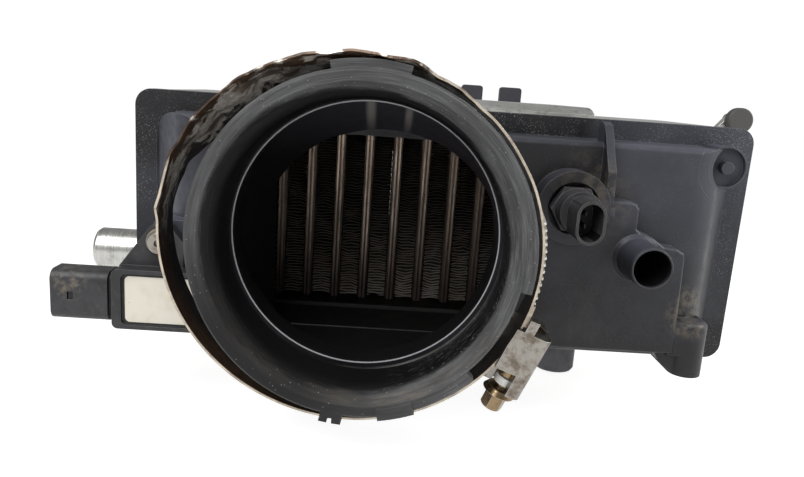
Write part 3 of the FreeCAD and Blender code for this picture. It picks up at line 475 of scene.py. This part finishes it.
def sensor_finish(colours):
    """Satin black moulding of the sensors, with brown dirt round the latch, pale edges that are partly a
    painted highlight, and painted shade in the plug's socket.
    """
    f = Finish("sensor_moulding", specular=0.4)
    edge = f.edge(0.0004)
    film = f.span(f.noise(90.0, 5.0), 0.42, 0.72)
    speck = f.span(f.noise(340.0, 4.0, 0.7), 0.46, 0.62)
    latch = f.times(f.blot(LATCH_DIRT, 0.0072, 0.0035), speck)
    dirt = f.plus(f.times(latch, 0.5), f.times(f.span(speck, 0.5, 1.0), 0.1))
    colour = f.blend(f.times(film, 0.22), colours.sensor[:], tone(84, 84, 88))
    colour = f.blend(f.least(dirt, 1.0), colour, colours.dirt[:])
    # Pale edges: partly wear, partly a painted highlight.
    colour = f.blend(f.times(edge, 0.3), colour, tone(120, 118, 114))
    here = f.parts()
    # Painted shade: the inside of the plug's socket is near-black.
    wide = f.near(here[0], along_x(PLUG_CENTRE_X), 0.0038)
    tall = f.near(here[2], along_z(PLUG_CENTRE_Z), 0.0060)
    deep = f.times(wide, tall, f.span(here[1], along_y(-56.9), along_y(-56.2)))
    colour = f.blend(deep, colour, tone(7, 7, 8))
    rough = f.span(f.noise(300.0, 3.0), 0.3, 0.7, 0.38, 0.58)
    normal = f.bump(f.noise(2600.0, 2.0), 0.00004, 0.6, f.rounded_normal(0.0004))
    return f.done(colour, rough, normal)


def cuff_finish(colours):
    """Dull grey rubber with scuffs that run round it and dirt in its lip. Painted shade darkens the lower
    left, the inner lip and the bore; painted reflections streak the bore's right side.
    """
    f = Finish("cuff_rubber", specular=0.14)
    radius, ring = f.polar(CUFF_CENTRE)
    fine = f.noise(1.0, 4.0, 0.6, f.stretched((6.0, 6.0, 2600.0), ring))
    broad = f.noise(1.0, 3.0, 0.5, f.stretched((2.4, 2.4, 520.0), ring))
    patch = f.noise(1.0, 5.0, 0.65, f.stretched((4.0, 4.0, 900.0), ring))
    here = f.parts()
    low = f.span(here[2], 0.040, 0.0)
    reach = f.plus(radius, f.times(f.dot(ring, (0.94, -0.34, 0.0)), 0.0023))
    reach = f.plus(reach, f.span(patch, 0.3, 0.7, -0.0006, 0.0006))
    face = f.span(reach, 0.0474, 0.0484)
    lip = f.times(f.span(radius, 0.0508, 0.0498), f.span(radius, 0.0462, 0.0480))
    dirt = f.times(lip, f.span(patch, 0.44, 0.62), f.plus(low, 0.04))
    worn = f.times(f.span(fine, 0.42, 0.72), 0.42)
    worn = f.plus(worn, f.times(f.span(broad, 0.42, 0.7), 0.4))
    worn = f.times(worn, f.span(f.noise(22.0, 3.0), 0.34, 0.62, 0.35, 1.0))
    worn = f.times(worn, f.span(face, 0.0, 1.0, 0.12, 1.0))
    edge = f.edge(0.0006)
    # Inside the face ring the rubber is painted near-black: painted shade where the lip curls into the bore,
    # reaching further out on the left.
    base = f.blend(face, tone(15, 15, 17), colours.cuff[:])
    shaded = f.span(f.dot(ring, (-0.62, -0.78, 0.0)), 0.5, 0.95, 0.0, 0.78)
    worn = f.times(worn, f.minus(0.8, shaded))
    colour = f.blend(worn, base, colours.cuff_worn[:])
    colour = f.blend(f.times(dirt, 0.4), colour, colours.dirt[:])
    # Pale edges: partly wear, partly a painted highlight.
    colour = f.blend(f.times(edge, 0.22), colour, tone(138, 137, 134))
    colour = f.blend(shaded, colour, tone(17, 16, 16))
    # Painted shade: the bore is near-black.
    deep = f.times(f.span(radius, 0.0466, 0.0460), 0.92)
    colour = f.blend(deep, colour, tone(10, 10, 11))
    # Painted reflection: pale streaks on the bore's right side.
    streaks = f.noise(1.0, 5.0, 0.7, f.joined(*f.parts(ring)[:2], here[1], 14.0, 2600.0))
    bore_reflection = f.times(f.span(streaks, 0.60, 0.68), f.span(f.dot(ring, (0.96, -0.26, 0.0)), 0.45, 0.85))
    colour = f.blend(f.times(bore_reflection, deep), colour, tone(150, 150, 152))
    specks = f.times(f.specks(1100.0, 0.22, 0.16), face, 0.45)
    colour = f.blend(specks, colour, tone(160, 158, 150))
    rough = f.span(broad, 0.3, 0.8, 0.62, 0.42)
    lines = f.plus(f.times(fine, 0.7), f.times(f.noise(900.0, 3.0), 0.3))
    normal = f.bump(lines, 0.0005, 0.7, f.rounded_normal(0.0006))
    return f.done(colour, rough, normal)


def steel_finish(name, colours, shade, stain, rough_low, rough_high):
    """Satin stainless steel with brown stains, fine scratches and edges brightened by a painted highlight."""
    f = Finish(name, metallic=1.0)
    blot = f.span(f.noise(230.0, 6.0, 0.7), 0.46, 0.62)
    fine = f.noise(1.0, 2.0, 0.6, f.stretched((260.0, 2600.0, 2600.0)))
    edge = f.edge(0.0003)
    colour = f.blend(f.times(blot, stain), tuple(shade), colours.steel_stain[:])
    colour = f.blend(f.times(f.span(fine, 0.5, 0.75), 0.2), colour, tone(120, 112, 102))
    # Painted highlight on the edges.
    colour = f.blend(f.times(edge, 0.5), colour, tone(232, 230, 224))
    rough = f.span(f.noise(420.0, 3.0), 0.3, 0.7, rough_low, rough_high)
    normal = f.bump(fine, 0.00003, 0.5, f.rounded_normal(0.00025))
    return f.done(colour, rough, normal)


def band_finish(colours):
    """Thin steel strip: painted highlight on one edge, brown strip, wavy strip of painted reflection with
    painted glints, dark strip.
    """
    f = Finish("band_steel", metallic=0.55)
    place = band_matrix()
    axis = tuple(place.to_3x3() @ Vector((0, 1, 0)))
    across = f.dot(f.vector("SUBTRACT", f.place, tuple(place.translation)), axis)
    side = f.parts(f.polar(BAND_CENTRE)[1])

    def running(detail, roughness, wide, deep):
        """Noise drawn out round the band, finer across it."""
        return f.noise(1.0, detail, roughness, f.joined(side[0], side[1], across, wide, deep))

    wave = running(4.0, 0.65, 9.0, 160.0)
    lines = running(3.0, 0.6, 16.0, 900.0)
    shifted = f.plus(across, f.span(wave, 0.3, 0.7, -0.0022, 0.0022))
    # Painted reflection: a wavy bright strip along the band, strongest on its upper part, coloured as bare
    # steel.
    reflection_strip = f.times(f.span(shifted, 0.0034, 0.0040), f.span(shifted, 0.0086, 0.0078),
                     f.span(running(3.0, 0.6, 5.0, 620.0), 0.4, 0.56, 0.12, 1.0), f.span(side[1], 0.02, 0.12))
    reflection_strip = f.most(reflection_strip, f.times(f.span(side[0], 0.55, 0.8), 0.15))
    # Painted highlight along one edge of the strip.
    rim = f.times(f.span(across, 0.0004, 0.0001), f.span(wave, 0.3, 0.6, 0.35, 1.0))
    brown = f.blend(f.span(across, 0.005, 0.008), tone(84, 66, 52), tone(58, 55, 54))
    base = f.blend(f.span(lines, 0.45, 0.65, 0.0, 0.6), brown, tone(34, 28, 25))
    colour = f.blend(reflection_strip, base, colours.steel[:])
    streak = f.times(f.span(lines, 0.5, 0.7), reflection_strip, 0.5)
    colour = f.blend(streak, colour, tone(110, 92, 76))
    glint = f.times(f.span(running(3.0, 0.6, 7.0, 380.0), 0.54, 0.6), f.span(side[1], -0.1, 0.25, 0.0, 0.75))
    colour = f.blend(glint, colour, tone(215, 208, 198))
    colour = f.blend(rim, colour, tone(196, 184, 166))
    rough = f.span(reflection_strip, 0.0, 1.0, 0.36, 0.2)
    normal = f.bump(f.plus(wave, f.times(lines, 0.3)), 0.0014, 0.5, f.rounded_normal(0.0002))
    return f.done(colour, rough, normal)


def alloy_finish(name, shade, rough_low, rough_high, turned=False, core=False):
    """Aluminium, either rolled sheet or turned with fine rings; a core's is painted dark inside the flange,
    as shade.
    """
    f = Finish(name, metallic=1.0)
    here = f.parts()
    cloud = f.noise(90.0, 5.0, 0.6)
    if turned:
        lines = f.noise(1.0, 3.0, 0.7, f.stretched((3400.0, 60.0, 60.0)))
    else:
        lines = f.noise(1.0, 3.0, 0.7, f.stretched((40.0, 1500.0, 1500.0)))
    colour = f.blend(f.span(cloud, 0.4, 0.75, 0.0, 0.55), tuple(shade), tone(150, 148, 142))
    colour = f.blend(f.span(lines, 0.45, 0.75, 0.0, 0.35), colour, tone(236, 236, 234))
    grime = f.times(f.span(f.noise(260.0, 4.0), 0.54, 0.70), 0.4)
    colour = f.blend(grime, colour, tone(100, 92, 82))
    if core:
        # Painted shade: the core's parts are near-black inside the flange.
        within = f.times(f.near(here[0], along_x(0), 0.1125), f.near(here[2], along_z(0), 0.0400))
        colour = f.blend(within, colour, tone(24, 22, 21))
    rough = f.span(lines, 0.3, 0.75, rough_low, rough_high)
    normal = f.bump(lines, 0.00006, 0.6, f.rounded_normal(0.0003))
    return f.done(colour, rough, normal)


def tube_finish(colours):
    """Brazed tubes: tan edges painted lighter at the top, as light falls there, with dark seams and flux
    marks.
    """
    f = Finish("tube_alloy", metallic=0.35)
    here = f.parts()
    along = f.noise(1.0, 4.0, 0.6, f.stretched((900.0, 200.0, 60.0)))
    spots = f.span(f.noise(700.0, 3.0), 0.6, 0.72)
    # Painted light: the tubes are dark at the bottom and light at the top.
    top = f.span(here[2], along_z(-30), along_z(38))
    colour = f.blend(top, tone(76, 64, 60), colours.tube[:])
    colour = f.blend(f.span(along, 0.4, 0.75, 0.0, 0.7), colour, tone(70, 58, 52))
    colour = f.blend(f.times(spots, 0.6), colour, tone(40, 34, 32))
    rough = f.span(along, 0.3, 0.7, 0.34, 0.6)
    return f.done(colour, rough, f.bump(along, 0.00008, 0.5))


def fin_finish(colours):
    """Folded strip, dusty in patches, with a painted pool of light on an upper patch and painted shade behind
    its front edges.
    """
    f = Finish("fin_alloy")
    here = f.parts()
    patch = f.span(f.noise(48.0, 4.0, 0.6), 0.42, 0.68)
    fine = f.noise(1200.0, 3.0)
    # Painted light: a pale pool on the upper fins right of the port's middle.
    corner = f.times(f.span(here[2], along_z(4), along_z(32)), f.span(here[0], along_x(-24), along_x(6)))
    colour = f.blend(f.times(patch, 0.6), colours.fin[:], tone(205, 190, 170))
    colour = f.blend(f.times(corner, 0.6), colour, tone(255, 238, 212))
    colour = f.blend(f.span(fine, 0.5, 0.75, 0.0, 0.6), colour, tone(60, 56, 54))
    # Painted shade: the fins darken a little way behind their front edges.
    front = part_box("cooling_fin_01")[0].y
    colour = f.blend(f.span(here[1], front + 0.0016, front + 0.0030), colour, tone(60, 56, 54))
    return f.done(colour, f.span(fine, 0.3, 0.7, 0.42, 0.7), f.bump(fine, 0.00005, 0.4))


def label_finish(colours):
    """Bare cream film, a little soiled."""
    f = Finish("label_film")
    soil = f.span(f.noise(150.0, 5.0, 0.65), 0.46, 0.75)
    spots = f.specks(520.0, 0.16, 0.12)
    colour = f.blend(f.times(soil, 0.45), colours.label[:], tone(176, 168, 148))
    colour = f.blend(f.times(spots, 0.5), colour, tone(120, 108, 92))
    rough = f.span(soil, 0.0, 1.0, 0.42, 0.6)
    return f.done(colour, rough, f.bump(f.noise(1500.0, 2.0), 0.00002, 0.4))


def plain_finish(name, shade, soiled, rough, metallic=0.0, scale=260.0):
    """Small part: one shade, soiled in patches, faintly rough, with pale edges that are partly a painted
    highlight.
    """
    f = Finish(name, metallic=metallic)
    soil = f.span(f.noise(scale, 5.0, 0.65), 0.42, 0.7)
    edge = f.edge(0.0003)
    colour = f.blend(f.times(soil, 0.6), tuple(shade), soiled)
    # Pale edges: partly wear, partly a painted highlight.
    paler = tuple(min(1.0, part * 1.8 + 0.03) for part in shade)
    colour = f.blend(f.times(edge, 0.35), colour, paler)
    return f.done(colour, f.span(soil, 0.0, 1.0, rough, min(1.0, rough + 0.22)),
                  f.bump(f.noise(1600.0, 2.0), 0.00004, 0.5, f.rounded_normal(0.0003)))


def dress(finish, *names):
    """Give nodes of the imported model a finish."""
    for name in names:
        node = NODES[name]
        node.data.materials.clear()
        node.data.materials.append(finish)


def piece(name, shape, finish, replaced=()):
    """Make an object of a bmesh, whose place is in its mesh."""
    mesh = bpy.data.meshes.new(name)
    shape.to_mesh(mesh)
    shape.free()
    for face in mesh.polygons:
        face.use_smooth = True
    mesh.set_sharp_from_angle(angle=math.radians(35))
    mesh.materials.append(finish)
    made = bpy.data.objects.new(name, mesh)
    bpy.context.scene.collection.objects.link(made)
    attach(made, "root")
    if replaced:
        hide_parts(*replaced)
    return made


def band_matrix():
    """From a clamp piece drawn upright about the origin to its askew place."""
    turn = Matrix.Rotation(BAND_TURN, 4, "Z") @ Matrix.Rotation(BAND_LEAN, 4, "X")
    return Matrix.Translation(at(*BAND_CENTRE)) @ turn


class COOLER_OT_tanks(bpy.types.Operator):
    """Finish the two moulded tanks and their seals"""
    bl_idname = "cooler.tanks"
    bl_label = "Tanks"
    bl_options = {"REGISTER", "UNDO"}

    def execute(self, context):
        colours = context.scene.cooler_colours
        dress(tank_finish(colours), "front_tank", "rear_tank")
        dress(plain_finish("seal_rubber", tone(26, 26, 27), tone(48, 46, 44), 0.7), "tank_seals")
        dress(plain_finish("insert_brass", colours.brass[:], tone(90, 74, 52), 0.35, 1.0), "foot_insert")
        return {"FINISHED"}


class COOLER_OT_cuff(bpy.types.Operator):
    """Finish the rubber cuff"""
    bl_idname = "cooler.cuff"
    bl_label = "Cuff"
    bl_options = {"REGISTER", "UNDO"}

    def execute(self, context):
        colours = context.scene.cooler_colours
        dress(cuff_finish(colours), "charge_cuff")
        return {"FINISHED"}


class COOLER_OT_clamp(bpy.types.Operator):
    """Finish the hose clamp and make its thin, dented band"""
    bl_idname = "cooler.clamp"
    bl_label = "Hose clamp"
    bl_options = {"REGISTER", "UNDO"}

    def execute(self, context):
        colours = context.scene.cooler_colours
        sizes = context.scene.cooler_sizes
        steel = steel_finish("clamp_steel", colours, tone(146, 142, 135), 0.85, 0.3, 0.46)
        screw = steel_finish("screw_steel", colours, tone(138, 118, 90), 0.75, 0.22, 0.4)
        band = band_finish(colours)
        dress(steel, "clamp_housing")
        dress(screw, "clamp_screw")
        dress(plain_finish("washer_white", tone(253, 253, 250), tone(222, 216, 206), 0.4), "clamp_washer")
        self.strip(band)
        self.ridges(sizes)
        return {"FINISHED"}

    def bend(self, angle):
        """Tip in radians and sinking in millimetres at an angle round the clamp."""
        for low, high in zip(BAND_BENDS, BAND_BENDS[1:]):
            if low[0] <= angle <= high[0]:
                part = (angle - low[0]) / (high[0] - low[0])
                part = part * part * (3 - 2 * part)
                return math.radians(low[1] + part * (high[1] - low[1])), low[2] + part * (high[2] - low[2])
        return 0.0, 0.0

    def spin_section(self, shape, start, turn, steps, lift):
        """Spin the strip's flat section about the clamp's axis."""
        rows = [BAND_WIDTH * k / BAND_STRIPS for k in range(BAND_STRIPS + 1)]
        outer = [(BAND_MIDDLE + lift + BAND_SHEET / 2, y, 0) for y in reversed(rows)]
        inner = [(BAND_MIDDLE + lift - BAND_SHEET / 2, y, 0) for y in rows]
        corners = [shape.verts.new(corner) for corner in outer + inner]
        edges = [shape.edges.new((corners[k - 1], corners[k])) for k in range(len(corners))]
        bmesh.ops.rotate(shape, cent=(0, 0, 0), matrix=Matrix.Rotation(math.radians(-start), 3, "Y"),
                         verts=corners)
        bmesh.ops.spin(shape, geom=edges, cent=(0, 0, 0), axis=(0, -1, 0), angle=math.radians(turn),
                       steps=steps, use_merge=turn == 360)

    def dented(self, corner):
        """Where a point of the round strip goes when it is bent, crumpled and kinked; in metres."""
        turn = math.atan2(corner.z, corner.x)
        angle = math.degrees(turn) % 360
        tip, sink = self.bend(angle)
        crumple = min(1.0, tip / FULL_CRUMPLE)
        run = corner.y - BAND_WIDTH / 2
        place = Vector((math.cos(turn) * 7, math.sin(turn) * 7, run * 0.22))
        dent = (noise.noise(place) * DENT_DEPTH + noise.noise(place * 2.3) * DENT_FINE_DEPTH) * crumple
        rise = math.hypot(corner.x, corner.z) - BAND_MIDDLE + dent
        kink = KINK_RISE * max(0.0, 1 - abs(angle - KINK_ANGLE) / KINK_SPREAD) * (0.5 - run / BAND_WIDTH)
        radius = BAND_MIDDLE + sink + kink - run * math.sin(tip) + rise * math.cos(tip)
        deep = BAND_WIDTH / 2 + run * math.cos(tip) + rise * math.sin(tip)
        return Vector((radius * math.cos(turn), deep, radius * math.sin(turn))) / 1000

    def strip(self, band):
        """The closed loop, and the short free end that lies on it above the housing."""
        shape = bmesh.new()
        self.spin_section(shape, 0.0, 360, BAND_STEPS, 0.0)
        self.spin_section(shape, TAIL_START, TAIL_TURN, TAIL_STEPS, BAND_SHEET)
        bmesh.ops.holes_fill(shape, edges=[edge for edge in shape.edges if edge.is_boundary], sides=0)
        for corner in shape.verts:
            corner.co = self.dented(corner.co)
        bmesh.ops.transform(shape, matrix=band_matrix(), verts=shape.verts)
        bmesh.ops.recalc_face_normals(shape, faces=shape.faces)
        piece("band_strip", shape, band, ["clamp_band"])

    def ridges(self, sizes):
        """Slanted thread ridges pressed into the strip."""
        shape = bmesh.new()
        outer = (BAND_MIDDLE + BAND_SHEET / 2) / 1000
        angle = RIDGE_REACH
        while angle > -RIDGE_REACH:
            ridge = bmesh.ops.create_cube(shape, size=1.0)["verts"]
            bmesh.ops.scale(shape, vec=RIDGE_SIZE, verts=ridge)
            bmesh.ops.rotate(shape, cent=(0, 0, 0), matrix=Matrix.Rotation(RIDGE_SLANT, 3, "X"), verts=ridge)
            bmesh.ops.translate(shape, vec=(outer + RIDGE_RISE, BAND_WIDTH / 2000, 0), verts=ridge)
            bmesh.ops.rotate(shape, cent=(0, 0, 0), matrix=Matrix.Rotation(-angle, 3, "Y"), verts=ridge)
            angle -= sizes.thread_pitch / outer
        bmesh.ops.bevel(shape, geom=shape.edges[:], offset=RIDGE_ROUND, segments=2, profile=0.5,
                        affect="EDGES", material=-1)
        bmesh.ops.transform(shape, matrix=band_matrix(), verts=shape.verts)
        bmesh.ops.recalc_face_normals(shape, faces=shape.faces)
        ridge_steel = plain_finish("ridge_steel", tone(206, 202, 194), tone(120, 110, 98), 0.3, 0.7)
        piece("band_ridges", shape, ridge_steel)


class COOLER_OT_pressure_sensor(bpy.types.Operator):
    """Finish both sensors with their label, bush, screw and terminals"""
    bl_idname = "cooler.pressure_sensor"
    bl_label = "Pressure sensor"
    bl_options = {"REGISTER", "UNDO"}

    def execute(self, context):
        colours = context.scene.cooler_colours
        dress(sensor_finish(colours), "pressure_sensor", "temperature_sensor")
        dress(label_finish(colours), "pressure_label")
        dress(plain_finish("bush_steel", tone(150, 142, 128), tone(86, 76, 62), 0.35, 1.0), "pressure_bush")
        dress(steel_finish("fixing_steel", colours, tone(150, 146, 138), 0.7, 0.3, 0.5), "pressure_screw")
        dress(plain_finish("terminal_tin", tone(190, 184, 170), tone(130, 120, 100), 0.3, 1.0),
              "pressure_terminals")
        dress(plain_finish("shaded_tin", tone(50, 46, 40), tone(36, 34, 30), 0.4, 0.6),
              "temperature_terminals")
        return {"FINISHED"}


class COOLER_OT_core(bpy.types.Operator):
    """Fold the fine fins between the cooling tubes, and finish both"""
    bl_idname = "cooler.core"
    bl_label = "Core"
    bl_options = {"REGISTER", "UNDO"}

    def execute(self, context):
        colours = context.scene.cooler_colours
        sizes = context.scene.cooler_sizes
        tubes = [name for name in NODES if name.startswith("cooling_tube")]
        dress(tube_finish(colours), *tubes)
        finish = fin_finish(colours)
        for name in sorted(NODES):
            if name.startswith("cooling_fin"):
                self.fold(name, finish, sizes)
        return {"FINISHED"}

    def fold(self, node, finish, sizes):
        """A thin strip folded to and fro up the gap, each fold a little bowed and wavy."""
        low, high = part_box(node)
        count = round((high.z - low.z) / sizes.fin_pitch)
        step = (high.z - low.z - 2 * sizes.fin_sheet) / count
        seed = int(node[-2:]) * 7.3
        shape = bmesh.new()
        line = []
        for fold in range(count + 1):
            bow = noise.noise(Vector((fold * 0.16, seed, 4.0))) * step * 1.3
            for k in range(FOLD_STEPS + 1):
                part = k / FOLD_STEPS if fold % 2 == 0 else 1 - k / FOLD_STEPS
                x = low.x + sizes.fin_sheet + part * (high.x - low.x - 2 * sizes.fin_sheet)
                lean = step * 0.16 * (k / FOLD_STEPS - 0.5)
                wave = noise.noise(Vector((x * 420, fold * 0.33, seed))) * step * 0.42
                z = low.z + sizes.fin_sheet + fold * step + lean + wave + bow * 4 * part * (1 - part)
                z = min(max(z, low.z + sizes.fin_sheet), high.z - sizes.fin_sheet)
                deep = noise.noise(Vector((fold * 0.21, seed, x * 150))) * 0.0003
                line.append(shape.verts.new((x, low.y + FOLD_SETBACK + deep, z)))
        edges = [shape.edges.new(pair) for pair in zip(line, line[1:])]
        wall = bmesh.ops.extrude_edge_only(shape, edges=edges)["geom"]
        for corner in wall:
            if isinstance(corner, bmesh.types.BMVert):
                corner.co.y = high.y
        bmesh.ops.solidify(shape, geom=shape.faces[:], thickness=sizes.fin_sheet)
        bmesh.ops.recalc_face_normals(shape, faces=shape.faces)
        piece(node.replace("cooling", "folded"), shape, finish, [node])


class COOLER_OT_case(bpy.types.Operator):
    """Finish the sheet case, the frames and the coolant pipes"""
    bl_idname = "cooler.case"
    bl_label = "Case and pipes"
    bl_options = {"REGISTER", "UNDO"}

    def execute(self, context):
        colours = context.scene.cooler_colours
        sheet = alloy_finish("sheet_alloy", colours.alloy[:], 0.3, 0.48, core=True)
        dress(sheet, "front_frame", "rear_frame", "core_shell", "tube_plates", "top_cover")
        dress(alloy_finish("turned_alloy", colours.pipe[:], 0.22, 0.42, turned=True), "coolant_inlet")
        # The outlet is given a plain darker grey than the inlet.
        dress(plain_finish("dark_grey_alloy", tone(104, 102, 106), tone(70, 68, 70), 0.6, 0.4, 60.0),
              "coolant_outlet")
        dress(plain_finish("peg_plastic", colours.peg[:], tone(58, 56, 54), 0.5), "corner_peg")
        return {"FINISHED"}


class COOLER_OT_stage(bpy.types.Operator):
    """Set up the floor, the lamps and the camera"""
    bl_idname = "cooler.stage"
    bl_label = "Stage"
    bl_options = {"REGISTER", "UNDO"}

    def execute(self, context):
        stage = context.scene.cooler_stage
        self.floor(stage)
        self.light(stage, context.scene)
        self.camera(context.scene)
        context.scene.view_settings.view_transform = "Standard"
        return {"FINISHED"}

    def floor(self, stage):
        """A pale floor that glows in part for the camera, so that no horizon shows."""
        shape = bmesh.new()
        bmesh.ops.create_grid(shape, x_segments=1, y_segments=1, size=6.0)
        bmesh.ops.translate(shape, vec=(0, 0, CAD_BOX[0].z - FLOOR_GAP), verts=shape.verts)
        mesh = bpy.data.meshes.new("floor")
        shape.to_mesh(mesh)
        shape.free()
        floor = bpy.data.objects.new("floor", mesh)
        bpy.context.scene.collection.objects.link(floor)
        material = bpy.data.materials.new("floor_white")
        material.use_nodes = True
        tree = material.node_tree
        tree.nodes.clear()
        out = tree.nodes.new("ShaderNodeOutputMaterial")
        lit = tree.nodes.new("ShaderNodeBsdfDiffuse")
        lit.inputs["Color"].default_value = (*stage.floor_tone, 1.0)
        glow = tree.nodes.new("ShaderNodeEmission")
        glow.inputs["Strength"].default_value = FLOOR_GLOW
        path = tree.nodes.new("ShaderNodeLightPath")
        seen = tree.nodes.new("ShaderNodeMath")
        seen.operation = "MAXIMUM"
        tree.links.new(path.outputs["Is Camera Ray"], seen.inputs[0])
        tree.links.new(path.outputs["Is Glossy Ray"], seen.inputs[1])
        most = tree.nodes.new("ShaderNodeMath")
        most.operation = "MULTIPLY"
        most.inputs[1].default_value = FLOOR_GLOW_SHARE
        tree.links.new(seen.outputs[0], most.inputs[0])
        mix = tree.nodes.new("ShaderNodeMixShader")
        tree.links.new(most.outputs[0], mix.inputs[0])
        tree.links.new(lit.outputs[0], mix.inputs[1])
        tree.links.new(glow.outputs[0], mix.inputs[2])
        tree.links.new(mix.outputs[0], out.inputs["Surface"])
        mesh.materials.append(material)

    def light(self, stage, scene):
        """Even light from all round, a lamp above the front and a weaker one at the side."""
        world = bpy.data.worlds.new("even_light")
        scene.world = world
        world.use_nodes = True
        tree = world.node_tree
        back = tree.nodes["Background"]
        back.inputs["Color"].default_value = (1.0, 1.0, 1.0, 1.0)
        path = tree.nodes.new("ShaderNodeLightPath")
        strength = tree.nodes.new("ShaderNodeMapRange")
        strength.inputs["To Min"].default_value = stage.world_light
        strength.inputs["To Max"].default_value = BACKDROP_LIGHT
        tree.links.new(path.outputs["Is Camera Ray"], strength.inputs["Value"])
        tree.links.new(strength.outputs[0], back.inputs["Strength"])
        for name, place, aim, size, watts in (
                ("key_lamp", (-260, -400, 520), (0, 0, 0), 0.5, stage.key_watts),
                ("side_lamp", (520, -160, 260), (60, 0, 0), 0.35, stage.key_watts * 0.4)):
            lamp = bpy.data.lights.new(name, "AREA")
            lamp.energy = watts
            lamp.size = size
            held = bpy.data.objects.new(name, lamp)
            scene.collection.objects.link(held)
            held.location = at(*place)
            held.rotation_euler = (at(*aim) - at(*place)).to_track_quat("-Z", "Y").to_euler()

    def camera(self, scene):
        """The photograph's camera."""
        lens = bpy.data.cameras.new("camera")
        lens.lens = LENS
        lens.sensor_width = SENSOR_WIDTH
        lens.clip_start = 0.01
        camera = bpy.data.objects.new("camera", lens)
        scene.collection.objects.link(camera)
        turned = Matrix((CAMERA_RIGHT, CAMERA_UP, CAMERA_BACK)).transposed().to_4x4()
        camera.matrix_world = Matrix.Translation(at(*CAMERA_PLACE)) @ turned
        scene.camera = camera


class COOLER_PT_panel(bpy.types.Panel):
    """Colours, sizes and steps of the cooler"""
    bl_idname = "COOLER_PT_panel"
    bl_label = "Charge air cooler"
    bl_space_type = "VIEW_3D"
    bl_region_type = "UI"
    bl_category = "Cooler"

    def draw(self, context):
        column = self.layout.column()
        for group in (context.scene.cooler_colours, context.scene.cooler_sizes, context.scene.cooler_stage):
            for key in group.__annotations__:
                column.prop(group, key)
        for operator in OPERATORS:
            column.operator(operator.bl_idname)


GROUPS = (CoolerColours, CoolerSizes, CoolerStage)
OPERATORS = (COOLER_OT_tanks, COOLER_OT_cuff, COOLER_OT_clamp, COOLER_OT_pressure_sensor,
             COOLER_OT_core, COOLER_OT_case, COOLER_OT_stage)


def register():
    for group in (*GROUPS, *OPERATORS, COOLER_PT_panel):
        bpy.utils.register_class(group)
    bpy.types.Scene.cooler_colours = bpy.props.PointerProperty(type=CoolerColours)
    bpy.types.Scene.cooler_sizes = bpy.props.PointerProperty(type=CoolerSizes)
    bpy.types.Scene.cooler_stage = bpy.props.PointerProperty(type=CoolerStage)


def unregister():
    del bpy.types.Scene.cooler_stage
    del bpy.types.Scene.cooler_sizes
    del bpy.types.Scene.cooler_colours
    for group in reversed((*GROUPS, *OPERATORS, COOLER_PT_panel)):
        bpy.utils.unregister_class(group)


def main():
    register()
    bpy.ops.cooler.tanks()
    bpy.ops.cooler.cuff()
    bpy.ops.cooler.clamp()
    bpy.ops.cooler.pressure_sensor()
    bpy.ops.cooler.core()
    bpy.ops.cooler.case()
    bpy.ops.cooler.stage()


if __name__ == "__main__":
    main()
